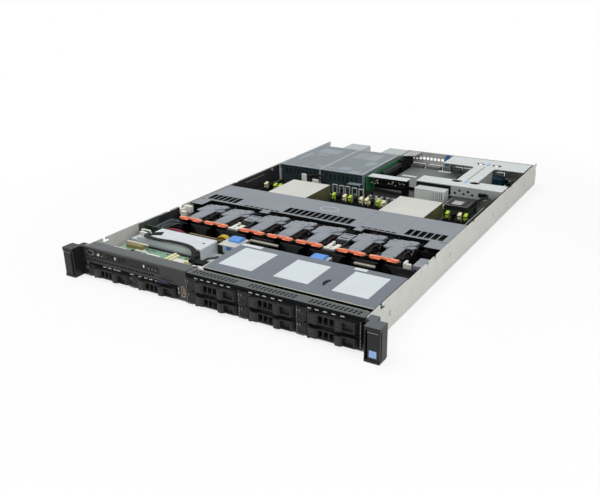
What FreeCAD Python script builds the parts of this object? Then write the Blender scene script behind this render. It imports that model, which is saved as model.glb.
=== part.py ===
import FreeCAD, Part
import math
import os

# A rack server one rack unit high, shown with its top cover off.
# Millimetres. X runs to the right seen from the front, the front faces -Y, +Z is up.
# Every piece is modelled with y measured from the front plane of the control panel,
# and export() shifts the whole server so that its box is centred on the origin.

# Overall sizes
EAR_SPAN = 482.4
CHASSIS_WIDTH = 434.0
CHASSIS_HEIGHT = 42.8
LATCH_REACH = 17.0
WALL_REACH = 719.0
WALL_TAIL = 13.0
REAR_WALL_Y = WALL_REACH - WALL_TAIL
PSU_RECESS = 42.0
PSU_BAY_END = REAR_WALL_Y - PSU_RECESS
SHEET = 1.2
BOARD = 1.6
HALF = CHASSIS_WIDTH / 2
INNER = HALF - SHEET

# Side walls
WALL_START = 3.0
WALL_STEP_Y = 112.0
WALL_STEP = 0.9
STUD_RADIUS = 3.2
STUD_HEIGHT = 1.8
STUD_YS = (62.0, 258.0, 455.0, WALL_REACH - 79.0)
WALL_VENT = 5.8
WALL_VENT_PITCH = 7.8
WALL_VENT_Z = 28.6
VENT_LEFT = -26.0
VENT_RIGHT = 166.0

# Drive bays
DIVIDER = 1.2
COLUMN_PITCH = 81.7
RIGHT_BAYS_X = -34.8
RIGHT_COLUMNS = 3
LEFT_BAYS_X = -213.4
LEFT_COLUMNS = 2
BAY_CLEAR = 17.2
SHELF = 1.0
CAGE_DEPTH = 112.0
CAGE_ROOF_END = 120.0
TONGUE_END = 140.0
TONGUE_XS = ((-66.0, -36.0), (70.0, 97.0))

# Drives
CARRIER_GAP = 0.5
CARRIER_DROP = 0.4
BEZEL_BACK = 7.0
BEZEL_FRONT = -1.5
RAIL = 3.2
DISK_WIDTH = 69.85
DISK_HEIGHT = 14.8
DISK_LENGTH = 100.2
HINGE_X = 16.5
HINGE_Y = -3.2
PIN_RADIUS = 1.0
PIN_SIDES = 10
BARREL_RADIUS = 1.9
KNUCKLE_SIDES = 10
PIN_CLEARANCE = 0.05
HANDLE_GAP = 0.5

# Covers over the drives
COVER_SHEET = 1.0
STRIP_END = 16.0
LEFT_STRIP_END = 20.0
COVER_START = 23.0
COVER_END = 117.0
COVER_LEFT = -25.0
SIDE_GAP = 1.2
COVER_RIGHT = INNER - SIDE_GAP
HOLE_ROW_Y = 7.4
HOLE_LENGTH = 8.2
HOLE_GROUP_XS = (-26.0, 59.0, 143.0)
HOLES_IN_ROW = 12
HOLE_PITCH = 5.6
HOLE_SIZE = 3.4
FINGER_SLOT = (133.6, 59.0)

# Control panel
PANEL = 3.0
PANEL_BOTTOM = 20.4
BAND_BOTTOM = 29.6
BAND_TOP = 40.4
BAND_END = -79.0
VENT_START = -211.0
VENT_PITCH = 4.75
VENT_SIZE = 3.0
VENT_COUNT = 26
VENT_Z = 25.6
POWER_X = -189.0
PANEL_Z = 35.2
POWER_RADIUS = 4.2
BUTTON_SIDES = 24
BUTTON_CLEARANCE = 0.3
TAG_WIDTH = 27.0
TAG_X = -71.5
TAG_THICKNESS = 1.4
TAG_Z = 21.0
TAG_LENGTH = 72.0
TAG_GUIDE = 36.0

# Fans
FAN_MIDDLE_X = -1.8
FAN_PITCH = 48.2
FAN_GROUP_PITCH = 113.7
FAN_AXIS_Z = 21.2
FAN_FRONT = 162.0
FAN_BACK = 238.0
FAN_BODY = 41.0
FAN_BORE = 17.6
FAN_TUBE = 20.4
TUBE_SIDES = 8
FAN_SIDES = 16
FAN_FLANGE = 43.6
HUB_RADIUS = 8.6
HUB_SIDES = 14
SHAFT_RADIUS = 1.5
SEAT_GAP = 0.3
BLADES = 7
ROTOR_DEPTH = 28.0
GRIP_BOTTOM = 38.2
GRIP_TOP = 41.0
GRIP_WAVE = ((0.0, 0.0), (0.2, 0.4), (0.4, 3.2), (0.56, 1.6), (0.68, 3.6), (0.83, -0.2), (1.0, 0.6))
GRIP_STEPS = 3
FAN_WALL_Y = 158.0

# Air shroud
SHROUD_FRONT = 252.0
SHROUD_BACK = 333.0
SHROUD_TOP = 41.2
SHROUD_WALL = 1.8
SHROUD_HALF = INNER - SIDE_GAP
SLOT_FRONT = 260.0
SLOT_BACK = 279.0
SLOT_PITCH = 9.9
SLOT_WIDTH = 7.0

# Mainboard
BOARD_BOTTOM = 6.2
BOARD_FRONT = 246.0
BOARD_BACK = REAR_WALL_Y - 6.0
BOARD_EDGE_GAP = 2.8
BOARD_HALF = INNER - BOARD_EDGE_GAP
PSU_SIDE_X = -37.0
PSU_FRONT = 496.0
SOCKET_WIDTH = 5.8
SOCKET_FRONT = 286.0
SOCKET_BACK = 420.0
SOCKET_HEIGHT = 8.6
LATCH_DEPTH = 7.0
LATCH_TOP = 25.4
SOCKET_GROUPS = ((14.0 - BOARD_HALF, 6, 10.1), (-56.5, 12, 10.7), (BOARD_HALF - 61.0, 6, 10.1))
SINK_CENTRES = (-106.0, 103.2)
SINK_WIDTH = 75.0
SINK_FRONT = 340.0
SINK_BACK = 431.0
SINK_TOP = 36.0
SINK_FINS = 15
CABLE_SIDES = 8

# Power supplies
PSU_CAGE_END = PSU_BAY_END - 3.0
PSU_CAGE_TOP = 41.4
PSU_WIDTH = 85.6
PSU_HEIGHT = 37.4
PSU_START = PSU_FRONT + 3.0
PSU_TAIL_END = PSU_BAY_END + 49.0
PSU_TAIL_WIDTH = 44.0
PSU_GAP = 0.5
PSU_DIVIDER_X = -126.4

# Risers
RISER_TOP = 41.2
RISER_BAR_FRONT = (512.0, 548.0)
RISER_BAR_BACK = (REAR_WALL_Y - 61.0, REAR_WALL_Y - 3.0)
RISER_LEFT = 60.0
RISER_RIGHT = INNER - 3.8
RISER_SPINE = (121.0, 159.0)
OVAL_WIDTH = 14.0
OVAL_LENGTH = 19.0
OVAL_SIDES = 16

FLOOR_TOP = SHEET
SHELF_Z = FLOOR_TOP + BAY_CLEAR
UPPER_BAY_Z = SHELF_Z + SHELF
ROOF_Z = UPPER_BAY_Z + BAY_CLEAR
ROOF_TOP = ROOF_Z + SHELF
BOARD_TOP = BOARD_BOTTOM + BOARD
FRONT_Y = (LATCH_REACH - WALL_REACH) / 2
CARRIER_WIDTH = COLUMN_PITCH - DIVIDER - 2 * CARRIER_GAP
CARRIER_HEIGHT = BAY_CLEAR - 2 * CARRIER_DROP
COVER_Z = CHASSIS_HEIGHT - COVER_SHEET

V = FreeCAD.Vector
AXIS_X = V(1, 0, 0)
AXIS_Y = V(0, 1, 0)
AXIS_Z = V(0, 0, 1)


def block(x0, x1, y0, y1, z0, z1):
    """A box between two corners."""
    return Part.makeBox(x1 - x0, y1 - y0, z1 - z0, V(x0, y0, z0))


def rod(start, axis, length, radius):
    """A round bar."""
    return Part.makeCylinder(radius, length, start, axis)


def sweep(corners, along):
    """A flat outline swept along one vector."""
    wire = Part.makePolygon(list(corners) + [corners[0]])
    return Part.Face(wire).extrude(along)


def profile_x(corners, x0, x1):
    """An outline of (y, z) corners swept along X."""
    return sweep([V(x0, y, z) for y, z in corners], V(x1 - x0, 0, 0))


def profile_y(corners, y0, y1):
    """An outline of (x, z) corners swept along Y."""
    return sweep([V(x, y0, z) for x, z in corners], V(0, y1 - y0, 0))


def profile_z(corners, z0, z1):
    """An outline of (x, y) corners swept along Z."""
    return sweep([V(x, y, z0) for x, y in corners], V(0, 0, z1 - z0))


def join(pieces):
    """Several touching solids as one."""
    return pieces[0].multiFuse(pieces[1:]).removeSplitter()


def group(pieces):
    """Separate solids kept in one node."""
    solids = []
    for piece in pieces:
        solids.extend(piece.Solids)
    return Part.makeCompound(solids)


def edges_along(shape, axis, test):
    """The straight edges that run along an axis and pass a test of their middle point."""
    found = []
    for edge in shape.Edges:
        if edge.Curve.TypeId != "Part::GeomLine":
            continue
        run = edge.Vertexes[1].Point - edge.Vertexes[0].Point
        if run.cross(axis).Length < 1e-6 * run.Length and test(edge.CenterOfMass):
            found.append(edge)
    return found


def rounded(shape, radius, axis, test=lambda point: True):
    """Fillets along one direction."""
    return shape.makeFillet(radius, edges_along(shape, axis, test))


def slot(x, y, width, length, z0, z1):
    """A hole with round ends, long along Y."""
    radius = width / 2
    reach = length / 2 - radius
    return join([
        block(x - radius, x + radius, y - reach, y + reach, z0, z1),
        rod(V(x, y - reach, z0), AXIS_Z, z1 - z0, radius),
        rod(V(x, y + reach, z0), AXIS_Z, z1 - z0, radius),
    ])


def clipped(x0, x1, z0, z1, corner):
    """Corners (x, z) of a rectangle with its corners cut off."""
    c = corner
    return [
        (x0 + c, z0), (x1 - c, z0), (x1, z0 + c), (x1, z1 - c),
        (x1 - c, z1), (x0 + c, z1), (x0, z1 - c), (x0, z0 + c),
    ]


def hexagon(x, z, across, y0, y1):
    """A six-sided hole along Y, a point at the top."""
    reach = across / math.sqrt(3)
    corners = [(x + reach * math.sin(math.pi * k / 3), z + reach * math.cos(math.pi * k / 3)) for k in range(6)]
    return profile_y(corners, y0, y1)


def ring_corners(x, z, reach, count):
    """Corners (x, z) of a regular shape, the first one half a step from the top."""
    turns = [2 * math.pi * (k + 0.5) / count for k in range(count)]
    return [(x + reach * math.sin(turn), z + reach * math.cos(turn)) for turn in turns]


def around(x, reach, count, z0, z1, y):
    """An upright bar with many flat sides, at x and y."""
    turns = [2 * math.pi * (k + 0.5) / count for k in range(count)]
    return profile_z([(x + reach * math.cos(turn), y + reach * math.sin(turn)) for turn in turns], z0, z1)


def taper(x, z, sides, y0, reach0, y1, reach1):
    """A many-sided bar along Y that changes its size from one end to the other."""
    near = [V(a, y0, b) for a, b in ring_corners(x, z, reach0, sides)]
    far = [V(a, y1, b) for a, b in ring_corners(x, z, reach1, sides)]
    return closed_by_faces(near, far, False)


def closed_by_faces(first, second, twisted):
    """A solid between two outlines with as many corners each, with flat faces between them."""
    faces = [Part.Face(Part.makePolygon(ring + [ring[0]])) for ring in (first, second)]
    for k in range(len(first)):
        after = (k + 1) % len(first)
        sides = [(first[k], first[after], second[after], second[k])]
        if twisted:
            sides = [(first[k], first[after], second[after]), (first[k], second[after], second[k])]
        for corners in sides:
            faces.append(Part.Face(Part.makePolygon(list(corners) + [corners[0]])))
    solid = Part.Solid(Part.Shell(faces))
    if solid.Volume < 0:
        solid.reverse()
    return solid


def mirrored(shape):
    """The same piece for the other side."""
    return shape.mirror(V(0, 0, 0), AXIS_X)


def export(name, shape):
    """Writes one node, shifted to the server's own frame."""
    placed = shape.copy()
    placed.translate(V(0, FRONT_Y, 0))
    placed.exportStep("parts/" + name + ".step")


def bay_x(start, column):
    """The middle of a column of bays."""
    return start + (column + 0.5) * COLUMN_PITCH


def fan_x(index):
    """The axis of one fan: two on the left, three in the middle, two on the right."""
    if index < 2:
        return FAN_MIDDLE_X - FAN_GROUP_PITCH + (index - 1) * FAN_PITCH
    if index < 5:
        return FAN_MIDDLE_X + (index - 3) * FAN_PITCH
    return FAN_MIDDLE_X + FAN_GROUP_PITCH + (index - 5) * FAN_PITCH


def wall_cuts(side):
    """Notches in the top edge of a side wall."""
    top = CHASSIS_HEIGHT + 1
    x0 = side * (HALF + 1)
    x1 = side * (INNER - 1)
    lo, hi = min(x0, x1), max(x0, x1)
    cuts = [
        block(lo, hi, WALL_STEP_Y, WALL_REACH + 1, CHASSIS_HEIGHT - WALL_STEP, top),
        block(lo, hi, 35.0, 40.0, 36.0, top),
        block(lo, hi, 40.0, 46.0, 36.0, 39.0),
        profile_x([(168, top), (174, 38.5), (178, 38.5), (178, top)], lo, hi),
        profile_x([(197, top), (199, 36.5), (203, 36.5), (208, top)], lo, hi),
        block(lo, hi, 352.0, 358.0, 38.5, top),
        block(lo, hi, 546.0, 552.0, 38.5, top),
    ]
    return cuts


def chassis_tray():
    """Folded steel tray with a stepped rear wall."""
    outer, inner = HALF, INNER
    height = CHASSIS_HEIGHT
    section = [
        (-outer, 0), (outer, 0), (outer, height), (inner, height),
        (inner, SHEET), (-inner, SHEET), (-inner, height), (-outer, height),
    ]
    tray = profile_y(section, 0, WALL_REACH)
    tray = rounded(tray, SHEET + 0.4, AXIS_Y, lambda p: p.z < 0.1)
    tray = rounded(tray, 0.4, AXIS_Y, lambda p: abs(p.z - SHEET) < 0.1)
    beyond = WALL_REACH + 1
    cuts = [
        block(-outer - 1, outer + 1, -1, WALL_START, SHEET, height + 1),
        block(-inner, inner, REAR_WALL_Y, beyond, -1, SHEET + 1),
        block(-outer - 1, PSU_SIDE_X - SHEET, PSU_BAY_END, beyond, -1, SHEET + 1),
        # The left wall ends in a small hook behind the power supply bay.
        profile_x([
            (PSU_BAY_END + 6, -1), (beyond, -1), (beyond, height + 1),
            (PSU_BAY_END + 34, height + 1), (PSU_BAY_END + 34, 34), (PSU_BAY_END + 26, 29),
            (PSU_BAY_END + 6, 29),
        ], -outer - 1, -inner + 1),
        # The right wall ends in a rounded hook.
        profile_x([
            (WALL_REACH - 6, 28), (beyond, 28), (beyond, 37), (WALL_REACH - 4, 37),
        ], inner - 1, outer + 1),
    ]
    cuts += wall_cuts(1) + wall_cuts(-1)
    tray = tray.cut(cuts)
    pieces = [tray]
    for x, y in standoff_places():
        pieces.append(standoff(x, y))
    for y in STUD_YS:
        pieces.append(rod(V(outer, y, height / 2), AXIS_X, STUD_HEIGHT, STUD_RADIUS))
        pieces.append(rod(V(-outer - STUD_HEIGHT, y, height / 2), AXIS_X, STUD_HEIGHT, STUD_RADIUS))
    return group([join(pieces), rear_wall()])


def standoff(x, y):
    """A six-sided post under the mainboard."""
    return around(x, 3.2, 6, SHEET, BOARD_BOTTOM, y)


def standoff_places():
    """Where the mainboard is screwed down."""
    places = [(x, y) for x in (-205.0, -64.5, 56.5, 205.0) for y in (254.0, 440.0)]
    rows = (RISER_BAR_FRONT[1] + 12.0, BOARD_BACK - 10.0)
    return places + [(x, y) for x in (-28.0, 116.0, 206.0) for y in rows]


def rear_wall():
    """Rear wall behind the cards, with connector cut-outs and round vents."""
    start, top, corner = PSU_SIDE_X - SHEET, 41.5, 0.5
    wall = profile_y([
        (start, SHEET), (INNER - corner, SHEET), (INNER, SHEET + corner), (INNER, top), (start, top),
    ], REAR_WALL_Y - SHEET, REAR_WALL_Y)
    y0, y1 = REAR_WALL_Y - SHEET - 1, REAR_WALL_Y + 1
    cuts = [block(x0, x1, y0, y1, z0, z1) for x0, x1, z0, z1 in port_windows()]
    for start, count in ((VENT_LEFT, 9), (VENT_RIGHT, 5)):
        for k in range(count):
            cuts.append(hexagon(start + WALL_VENT_PITCH * k, WALL_VENT_Z, WALL_VENT, y0, y1))
    cuts.append(block(66, 156, y0, y1, 21.5, 39.5))
    side = block(PSU_SIDE_X - SHEET, PSU_SIDE_X, PSU_BAY_END - 8, REAR_WALL_Y, SHEET, 40.0)
    return join([wall.cut(cuts), side])


def port_windows():
    """Rear connector openings: x from, x to, z from, z to."""
    windows = [(-30.0, 1.0, 6.0, 18.0), (7.0, 38.0, 6.0, 18.0), (44.0, 58.4, 8.0, 20.6)]
    windows += [(64.0 + 17.4 * k, 79.4 + 17.4 * k, 7.8, 19.4) for k in range(4)]
    windows.append((147.0, 162.4, 7.8, 19.4))
    return windows


def drive_cage():
    """Sheet steel dividers, shelves and roof that hold the carriers."""
    depth = CAGE_DEPTH
    right_end = RIGHT_BAYS_X + RIGHT_COLUMNS * COLUMN_PITCH
    left_end = LEFT_BAYS_X + LEFT_COLUMNS * COLUMN_PITCH
    half = DIVIDER / 2
    pieces = [divider(RIGHT_BAYS_X + k * COLUMN_PITCH, 0.6, ROOF_Z) for k in range(RIGHT_COLUMNS + 1)]
    roof = block(RIGHT_BAYS_X - half, right_end + half, STRIP_END, CAGE_ROOF_END, ROOF_Z, ROOF_TOP)
    pieces.append(roof)
    for x0, x1 in TONGUE_XS:
        tongue = block(x0, x1, CAGE_DEPTH - 6, TONGUE_END, ROOF_Z, ROOF_TOP)
        lip = block(x0, x1, TONGUE_END - SHELF, TONGUE_END, ROOF_Z - 9, ROOF_TOP)
        bend = join([tongue, lip])
        pieces.append(rounded(bend, 0.9, AXIS_X, lambda p: p.z > ROOF_TOP - 0.1 and p.y > TONGUE_END - 0.1))
    shelf = block(RIGHT_BAYS_X - half, right_end + half, 4.0, depth, SHELF_Z, UPPER_BAY_Z)
    windows = []
    for k in range(RIGHT_COLUMNS):
        x = bay_x(RIGHT_BAYS_X, k)
        windows.append(profile_z(clipped(x - 24, x + 24, 22, 96, 6), SHELF_Z - 1, UPPER_BAY_Z + 1))
    pieces.append(shelf.cut(windows))
    left = [divider(LEFT_BAYS_X + k * COLUMN_PITCH, PANEL + 1.0, UPPER_BAY_Z) for k in range(LEFT_COLUMNS + 1)]
    left.append(block(LEFT_BAYS_X - half, left_end + half, PANEL + 1.0, depth, SHELF_Z, UPPER_BAY_Z))
    left.append(block(left_end, RIGHT_BAYS_X - half, 20.0, depth, SHELF_Z, UPPER_BAY_Z))
    return group([join(pieces), join(left)])


def divider(x, start, top):
    """One upright between two columns of bays, with cooling windows."""
    half = DIVIDER / 2
    plate = block(x - half, x + half, start, CAGE_DEPTH, FLOOR_TOP, top)
    cuts = []
    for level in range(2):
        z0 = FLOOR_TOP + 4.2 + level * (BAY_CLEAR + SHELF)
        if z0 + 8 > top:
            continue
        cuts.append(block(x - 2, x + 2, 24.0, CAGE_DEPTH - 14.0, z0, z0 + 7))
    return plate.cut(cuts)


def front_strip():
    """Perforated strip along the front top edge over the right bays."""
    x0, x1 = RIGHT_BAYS_X + 0.6, COVER_RIGHT
    top = CHASSIS_HEIGHT
    section = [
        (0.3, ROOF_Z), (0.3 + COVER_SHEET, ROOF_Z), (0.3 + COVER_SHEET, COVER_Z),
        (STRIP_END - COVER_SHEET - 0.2, COVER_Z), (STRIP_END - COVER_SHEET - 0.2, ROOF_Z + 1.2),
        (STRIP_END - 0.2, ROOF_Z + 1.2), (STRIP_END - 0.2, top), (0.3, top),
    ]
    strip = profile_x(section, x0, x1)
    strip = rounded(strip, 0.8, AXIS_X, lambda p: p.z > top - 0.1)
    half = HOLE_SIZE / 2
    cuts = []
    y0, y1 = HOLE_ROW_Y - HOLE_LENGTH / 2, HOLE_ROW_Y + HOLE_LENGTH / 2
    for start in HOLE_GROUP_XS:
        for k in range(HOLES_IN_ROW):
            x = start + HOLE_PITCH * k
            slant = [(x - half, y0), (x + half, y0), (x + half + 1.4, y1), (x - half + 1.4, y1)]
            cuts.append(profile_z(slant, COVER_Z - 1, top + 1))
    return strip.cut(cuts)


def left_strip():
    """Plain strip above the control panel."""
    x0, x1 = -HALF + 1.4, RIGHT_BAYS_X - 1.0
    top = CHASSIS_HEIGHT
    section = [
        (PANEL, COVER_Z), (LEFT_STRIP_END - COVER_SHEET, COVER_Z),
        (LEFT_STRIP_END - COVER_SHEET, COVER_Z - 6), (LEFT_STRIP_END, COVER_Z - 6),
        (LEFT_STRIP_END, top), (PANEL, top),
    ]
    strip = profile_x(section, x0, x1)
    leg = block(x0, x0 + COVER_SHEET, PANEL + 1.0, LEFT_STRIP_END, UPPER_BAY_Z, COVER_Z)
    foot = block(x1 - COVER_SHEET, x1, PANEL + 18.0, LEFT_STRIP_END + 4.0, UPPER_BAY_Z, COVER_Z)
    return join([strip, leg, foot])


def drive_cover():
    """Removable plate over the right bays, with label recesses and a finger slot."""
    top = CHASSIS_HEIGHT
    outline = [
        (COVER_LEFT, COVER_START), (COVER_RIGHT, COVER_START), (COVER_RIGHT, COVER_END),
        (COVER_LEFT - 4, COVER_END), (COVER_LEFT - 4, COVER_END - 40),
    ]
    plate = profile_z(outline, COVER_Z, top)
    front = block(COVER_LEFT, COVER_RIGHT, COVER_START, COVER_START + COVER_SHEET, ROOF_TOP, top)
    back = block(COVER_LEFT - 4, TONGUE_XS[1][0], COVER_END - COVER_SHEET, COVER_END, ROOF_TOP, top)
    plate = join([plate, front, back])
    plate = rounded(plate, 0.8, AXIS_X, lambda p: p.z > top - 0.1)
    cuts = []
    for x0, x1, y0, y1 in ((-20, 36, 42, 104), (60, 117, 43, 103), (150, 198, 42, 105)):
        cuts.append(block(x0, x1, y0, y1, top - 0.25, top + 1))
    x, y = FINGER_SLOT
    ring = rod(V(x + 9, y, COVER_Z - 1), AXIS_Z, COVER_SHEET + 2, 12.5)
    ring = ring.cut(rod(V(x + 9, y, COVER_Z - 1), AXIS_Z, COVER_SHEET + 2, 7.0))
    cuts.append(ring.common(block(x - 4, x + 3, y - 11, y + 11, COVER_Z - 1, top + 1)))
    return plate.cut(cuts)


def drive_covers():
    return group([front_strip(), left_strip(), drive_cover()])


def front_fascia():
    """Black control panel over the left bays, and the column with the video port."""
    x0, x1 = -HALF + 0.4, RIGHT_BAYS_X - DIVIDER / 2 - 0.2
    column = LEFT_BAYS_X + LEFT_COLUMNS * COLUMN_PITCH + DIVIDER / 2 + 0.2
    top = CHASSIS_HEIGHT
    outline = [
        (x0, PANEL_BOTTOM), (column, PANEL_BOTTOM), (column, FLOOR_TOP), (x1, FLOOR_TOP), (x1, top), (x0, top),
    ]
    panel = profile_y(outline, 0, PANEL)
    panel = rounded(panel, 1.0, AXIS_X, lambda p: p.z > top - 0.1 and p.y < 0.1)
    guide = block(TAG_X - 15.5, TAG_X + 15.5, PANEL - 1.0, TAG_GUIDE, UPPER_BAY_Z + 0.1, TAG_Z + TAG_THICKNESS)
    panel = join([panel, guide])
    cuts = [block(x0 + 2, BAND_END, -1, 0.7, BAND_BOTTOM, BAND_TOP)]
    half = VENT_SIZE / 2
    for k in range(VENT_COUNT):
        x = VENT_START + VENT_PITCH * k
        cuts.append(block(x - half, x + half, -1, PANEL + 1, VENT_Z - half, VENT_Z + half))
    cuts.append(rod(V(POWER_X, -1, PANEL_Z), AXIS_Y, PANEL + 2, POWER_RADIUS + BUTTON_CLEARANCE))
    cuts.append(rod(V(-180.5, -1, PANEL_Z), AXIS_Y, PANEL + 2, 1.8))
    for x in (-173.6, -152.6):
        cuts.append(block(x, x + 13.2, -1, PANEL + 1, PANEL_Z - 2.8, PANEL_Z + 2.8))
    cuts.append(block(-134, -111, -1, 1.6, PANEL_Z - 3.4, PANEL_Z + 3.4))
    cuts.append(block(-104.0, -83.0, -1, 1.6, PANEL_Z - 2.2, PANEL_Z + 2.2))
    tag = TAG_WIDTH / 2 + 0.5
    cuts.append(block(TAG_X - tag, TAG_X + tag, -1, TAG_GUIDE + 1, TAG_Z - SEAT_GAP, TAG_Z + TAG_THICKNESS + 0.4))
    cuts.append(profile_y(clipped(-45.2, -38.4, 5.6, 21.0, 2.0), -1, PANEL + 1))
    panel = panel.cut(cuts)
    socket = profile_y(clipped(-45.0, -38.6, 5.8, 20.8, 1.8), 0.6, 14.0)
    shoulder = block(-46.4, -37.2, PANEL, 6.0, 4.4, 22.2)
    mouth = profile_y(clipped(-44.2, -39.4, 6.6, 20.0, 1.2), -1, 10.0)
    return group([panel, join([socket, shoulder]).cut(mouth)])


def power_button():
    """Round button with a flange behind the panel."""
    nose = taper(POWER_X, PANEL_Z, BUTTON_SIDES, -0.6, POWER_RADIUS - 0.4, -0.2, POWER_RADIUS)
    body = profile_y(ring_corners(POWER_X, PANEL_Z, POWER_RADIUS, BUTTON_SIDES), -0.2, PANEL + 0.3)
    flange = profile_y(ring_corners(POWER_X, PANEL_Z, POWER_RADIUS + 1.2, BUTTON_SIDES), PANEL + 0.3, PANEL + 1.5)
    stem = block(POWER_X - 1.2, POWER_X + 1.2, PANEL + 1.4, PANEL + 4.5, PANEL_Z - 1.2, PANEL_Z + 1.2)
    return join([nose, body, flange, stem])


def info_tag():
    """Thin tag that pulls out of the panel, with a lip to hold."""
    half = TAG_WIDTH / 2
    tag = block(TAG_X - half, TAG_X + half, -3.5, TAG_LENGTH, TAG_Z, TAG_Z + TAG_THICKNESS)
    tag = rounded(tag, 3.0, AXIS_Z, lambda p: p.y < 0)
    lip = rounded(block(TAG_X - 9, TAG_X + 9, -4.6, -2.4, TAG_Z - 0.3, TAG_Z + TAG_THICKNESS + 0.6), 0.5, AXIS_X)
    return join([tag, lip])


def carrier(x, z):
    """Drive carrier at the middle x and bottom z of its bay: bezel, hinge lugs, rails and disk."""
    width, height = CARRIER_WIDTH, CARRIER_HEIGHT
    x0, x1 = x - width / 2, x + width / 2
    z0 = z + CARRIER_DROP
    z1 = z0 + height
    back = BEZEL_BACK + 1.0 + DISK_LENGTH
    bezel = block(x0, x1, 0.6, BEZEL_BACK, z0, z1)
    grille = []
    for k in range(5):
        gx = x0 + 25.0 + 9.0 * k
        grille.append(block(gx, gx + 7.2, -1, BEZEL_BACK + 1, z0 + 3.2, z0 + 13.2))
    bezel = bezel.cut(grille)
    lamp_block = profile_z([
        (x0, BEZEL_BACK), (x0, BEZEL_FRONT + 0.8), (x0 + 0.8, BEZEL_FRONT), (x0 + 12.2, BEZEL_FRONT),
        (x0 + 13.0, BEZEL_FRONT + 0.8), (x0 + 13.0, BEZEL_BACK),
    ], z0, z1)
    hinge_x = x0 + HINGE_X
    lug = [(x0 + 12.0, 1.0), (x0 + 12.0, -1.2), (hinge_x - 1.6, HINGE_Y - 1.9), (hinge_x + 1.6, HINGE_Y - 1.9),
           (hinge_x + 3.0, 1.0)]
    lugs = [profile_z(lug, z0, z0 + 1.4), profile_z(lug, z1 - 1.4, z1)]
    pin = around(hinge_x, PIN_RADIUS, PIN_SIDES, z0 + 1.0, z1 - 1.0, HINGE_Y)
    rails = []
    for rx in (x0, x1 - RAIL):
        rail = block(rx, rx + RAIL, BEZEL_BACK - 1, back, z0, z0 + 11.0)
        notch = profile_x([(back - 8, z0 + 12), (back + 1, z0 + 3), (back + 1, z0 + 12)], rx - 1, rx + RAIL + 1)
        rails.append(rail.cut(notch))
    frame = join([bezel, lamp_block, pin] + lugs + rails)
    half = DISK_WIDTH / 2
    disk = block(x - half, x + half, BEZEL_BACK, BEZEL_BACK + DISK_LENGTH, z0 + 0.4, z0 + 0.4 + DISK_HEIGHT)
    return group([frame, disk])


def handle(x, z):
    """Hinged carrier handle: a waved bar with open windows and a knuckle round the pin."""
    x0 = x - CARRIER_WIDTH / 2
    z0 = z + CARRIER_DROP + 1.4 + HANDLE_GAP
    z1 = z + CARRIER_DROP + CARRIER_HEIGHT - 1.4 - HANDLE_GAP
    hinge_x = x0 + HINGE_X
    end = x0 + CARRIER_WIDTH - 1.6
    wave = [
        (hinge_x, -1.5), (hinge_x, -5.0), (x0 + 21.0, -6.6), (x0 + 27.0, -6.6), (x0 + 30.0, -4.4),
        (x0 + 49.0, -4.4), (x0 + 53.0, -8.4), (x0 + 59.0, -8.4), (x0 + 62.0, -5.6), (end - 2.0, -5.6),
        (end, -2.0), (end, -0.4), (x0 + 56.0, -0.4), (x0 + 53.0, -1.6), (x0 + 22.0, -1.6),
    ]
    bar = profile_z(wave, z0, z1)
    knuckle = around(hinge_x, BARREL_RADIUS, KNUCKLE_SIDES, z0, z1, HINGE_Y)
    bar = join([bar, knuckle])
    cuts = [rod(V(hinge_x, HINGE_Y, z0 - 1), AXIS_Z, z1 - z0 + 2, PIN_RADIUS + PIN_CLEARANCE)]
    inner0, inner1 = z0 + 1.8, z1 - 1.8
    for k in range(3):
        wx = x0 + 29.2 + 7.2 * k
        cuts.append(block(wx, wx + 5.6, -10, 1, inner0, inner1))
    cuts.append(block(x0 + 61.0, end - 4.0, -10, -2.4, inner0, inner1))
    return bar.cut(cuts)


def release_tabs():
    """Two plastic tabs that free the backplane, seated on the cage tongues."""
    tabs = []
    for x0, x1 in TONGUE_XS:
        middle = (x0 + x1) / 2
        front, back = CAGE_ROOF_END + 2.0, TONGUE_END - 1.0
        section = [
            (front, ROOF_TOP), (back, ROOF_TOP), (back, ROOF_TOP + 2.6), (back - 3.0, ROOF_TOP + 2.6),
            (back - 5.0, ROOF_TOP + 4.2), (front + 4.0, ROOF_TOP + 3.6), (front, ROOF_TOP + 1.8),
        ]
        tab = profile_x(section, middle - 9.0, middle + 9.0)
        tab = rounded(tab, 0.6, AXIS_X, lambda p: p.z > ROOF_TOP + 1)
        finger = [block(middle - 12.0, middle - 9.0, front + 4.0, back - 5.0, ROOF_TOP, ROOF_TOP + 1.6)]
        tabs.append(join([tab] + finger))
    return group(tabs)


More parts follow.
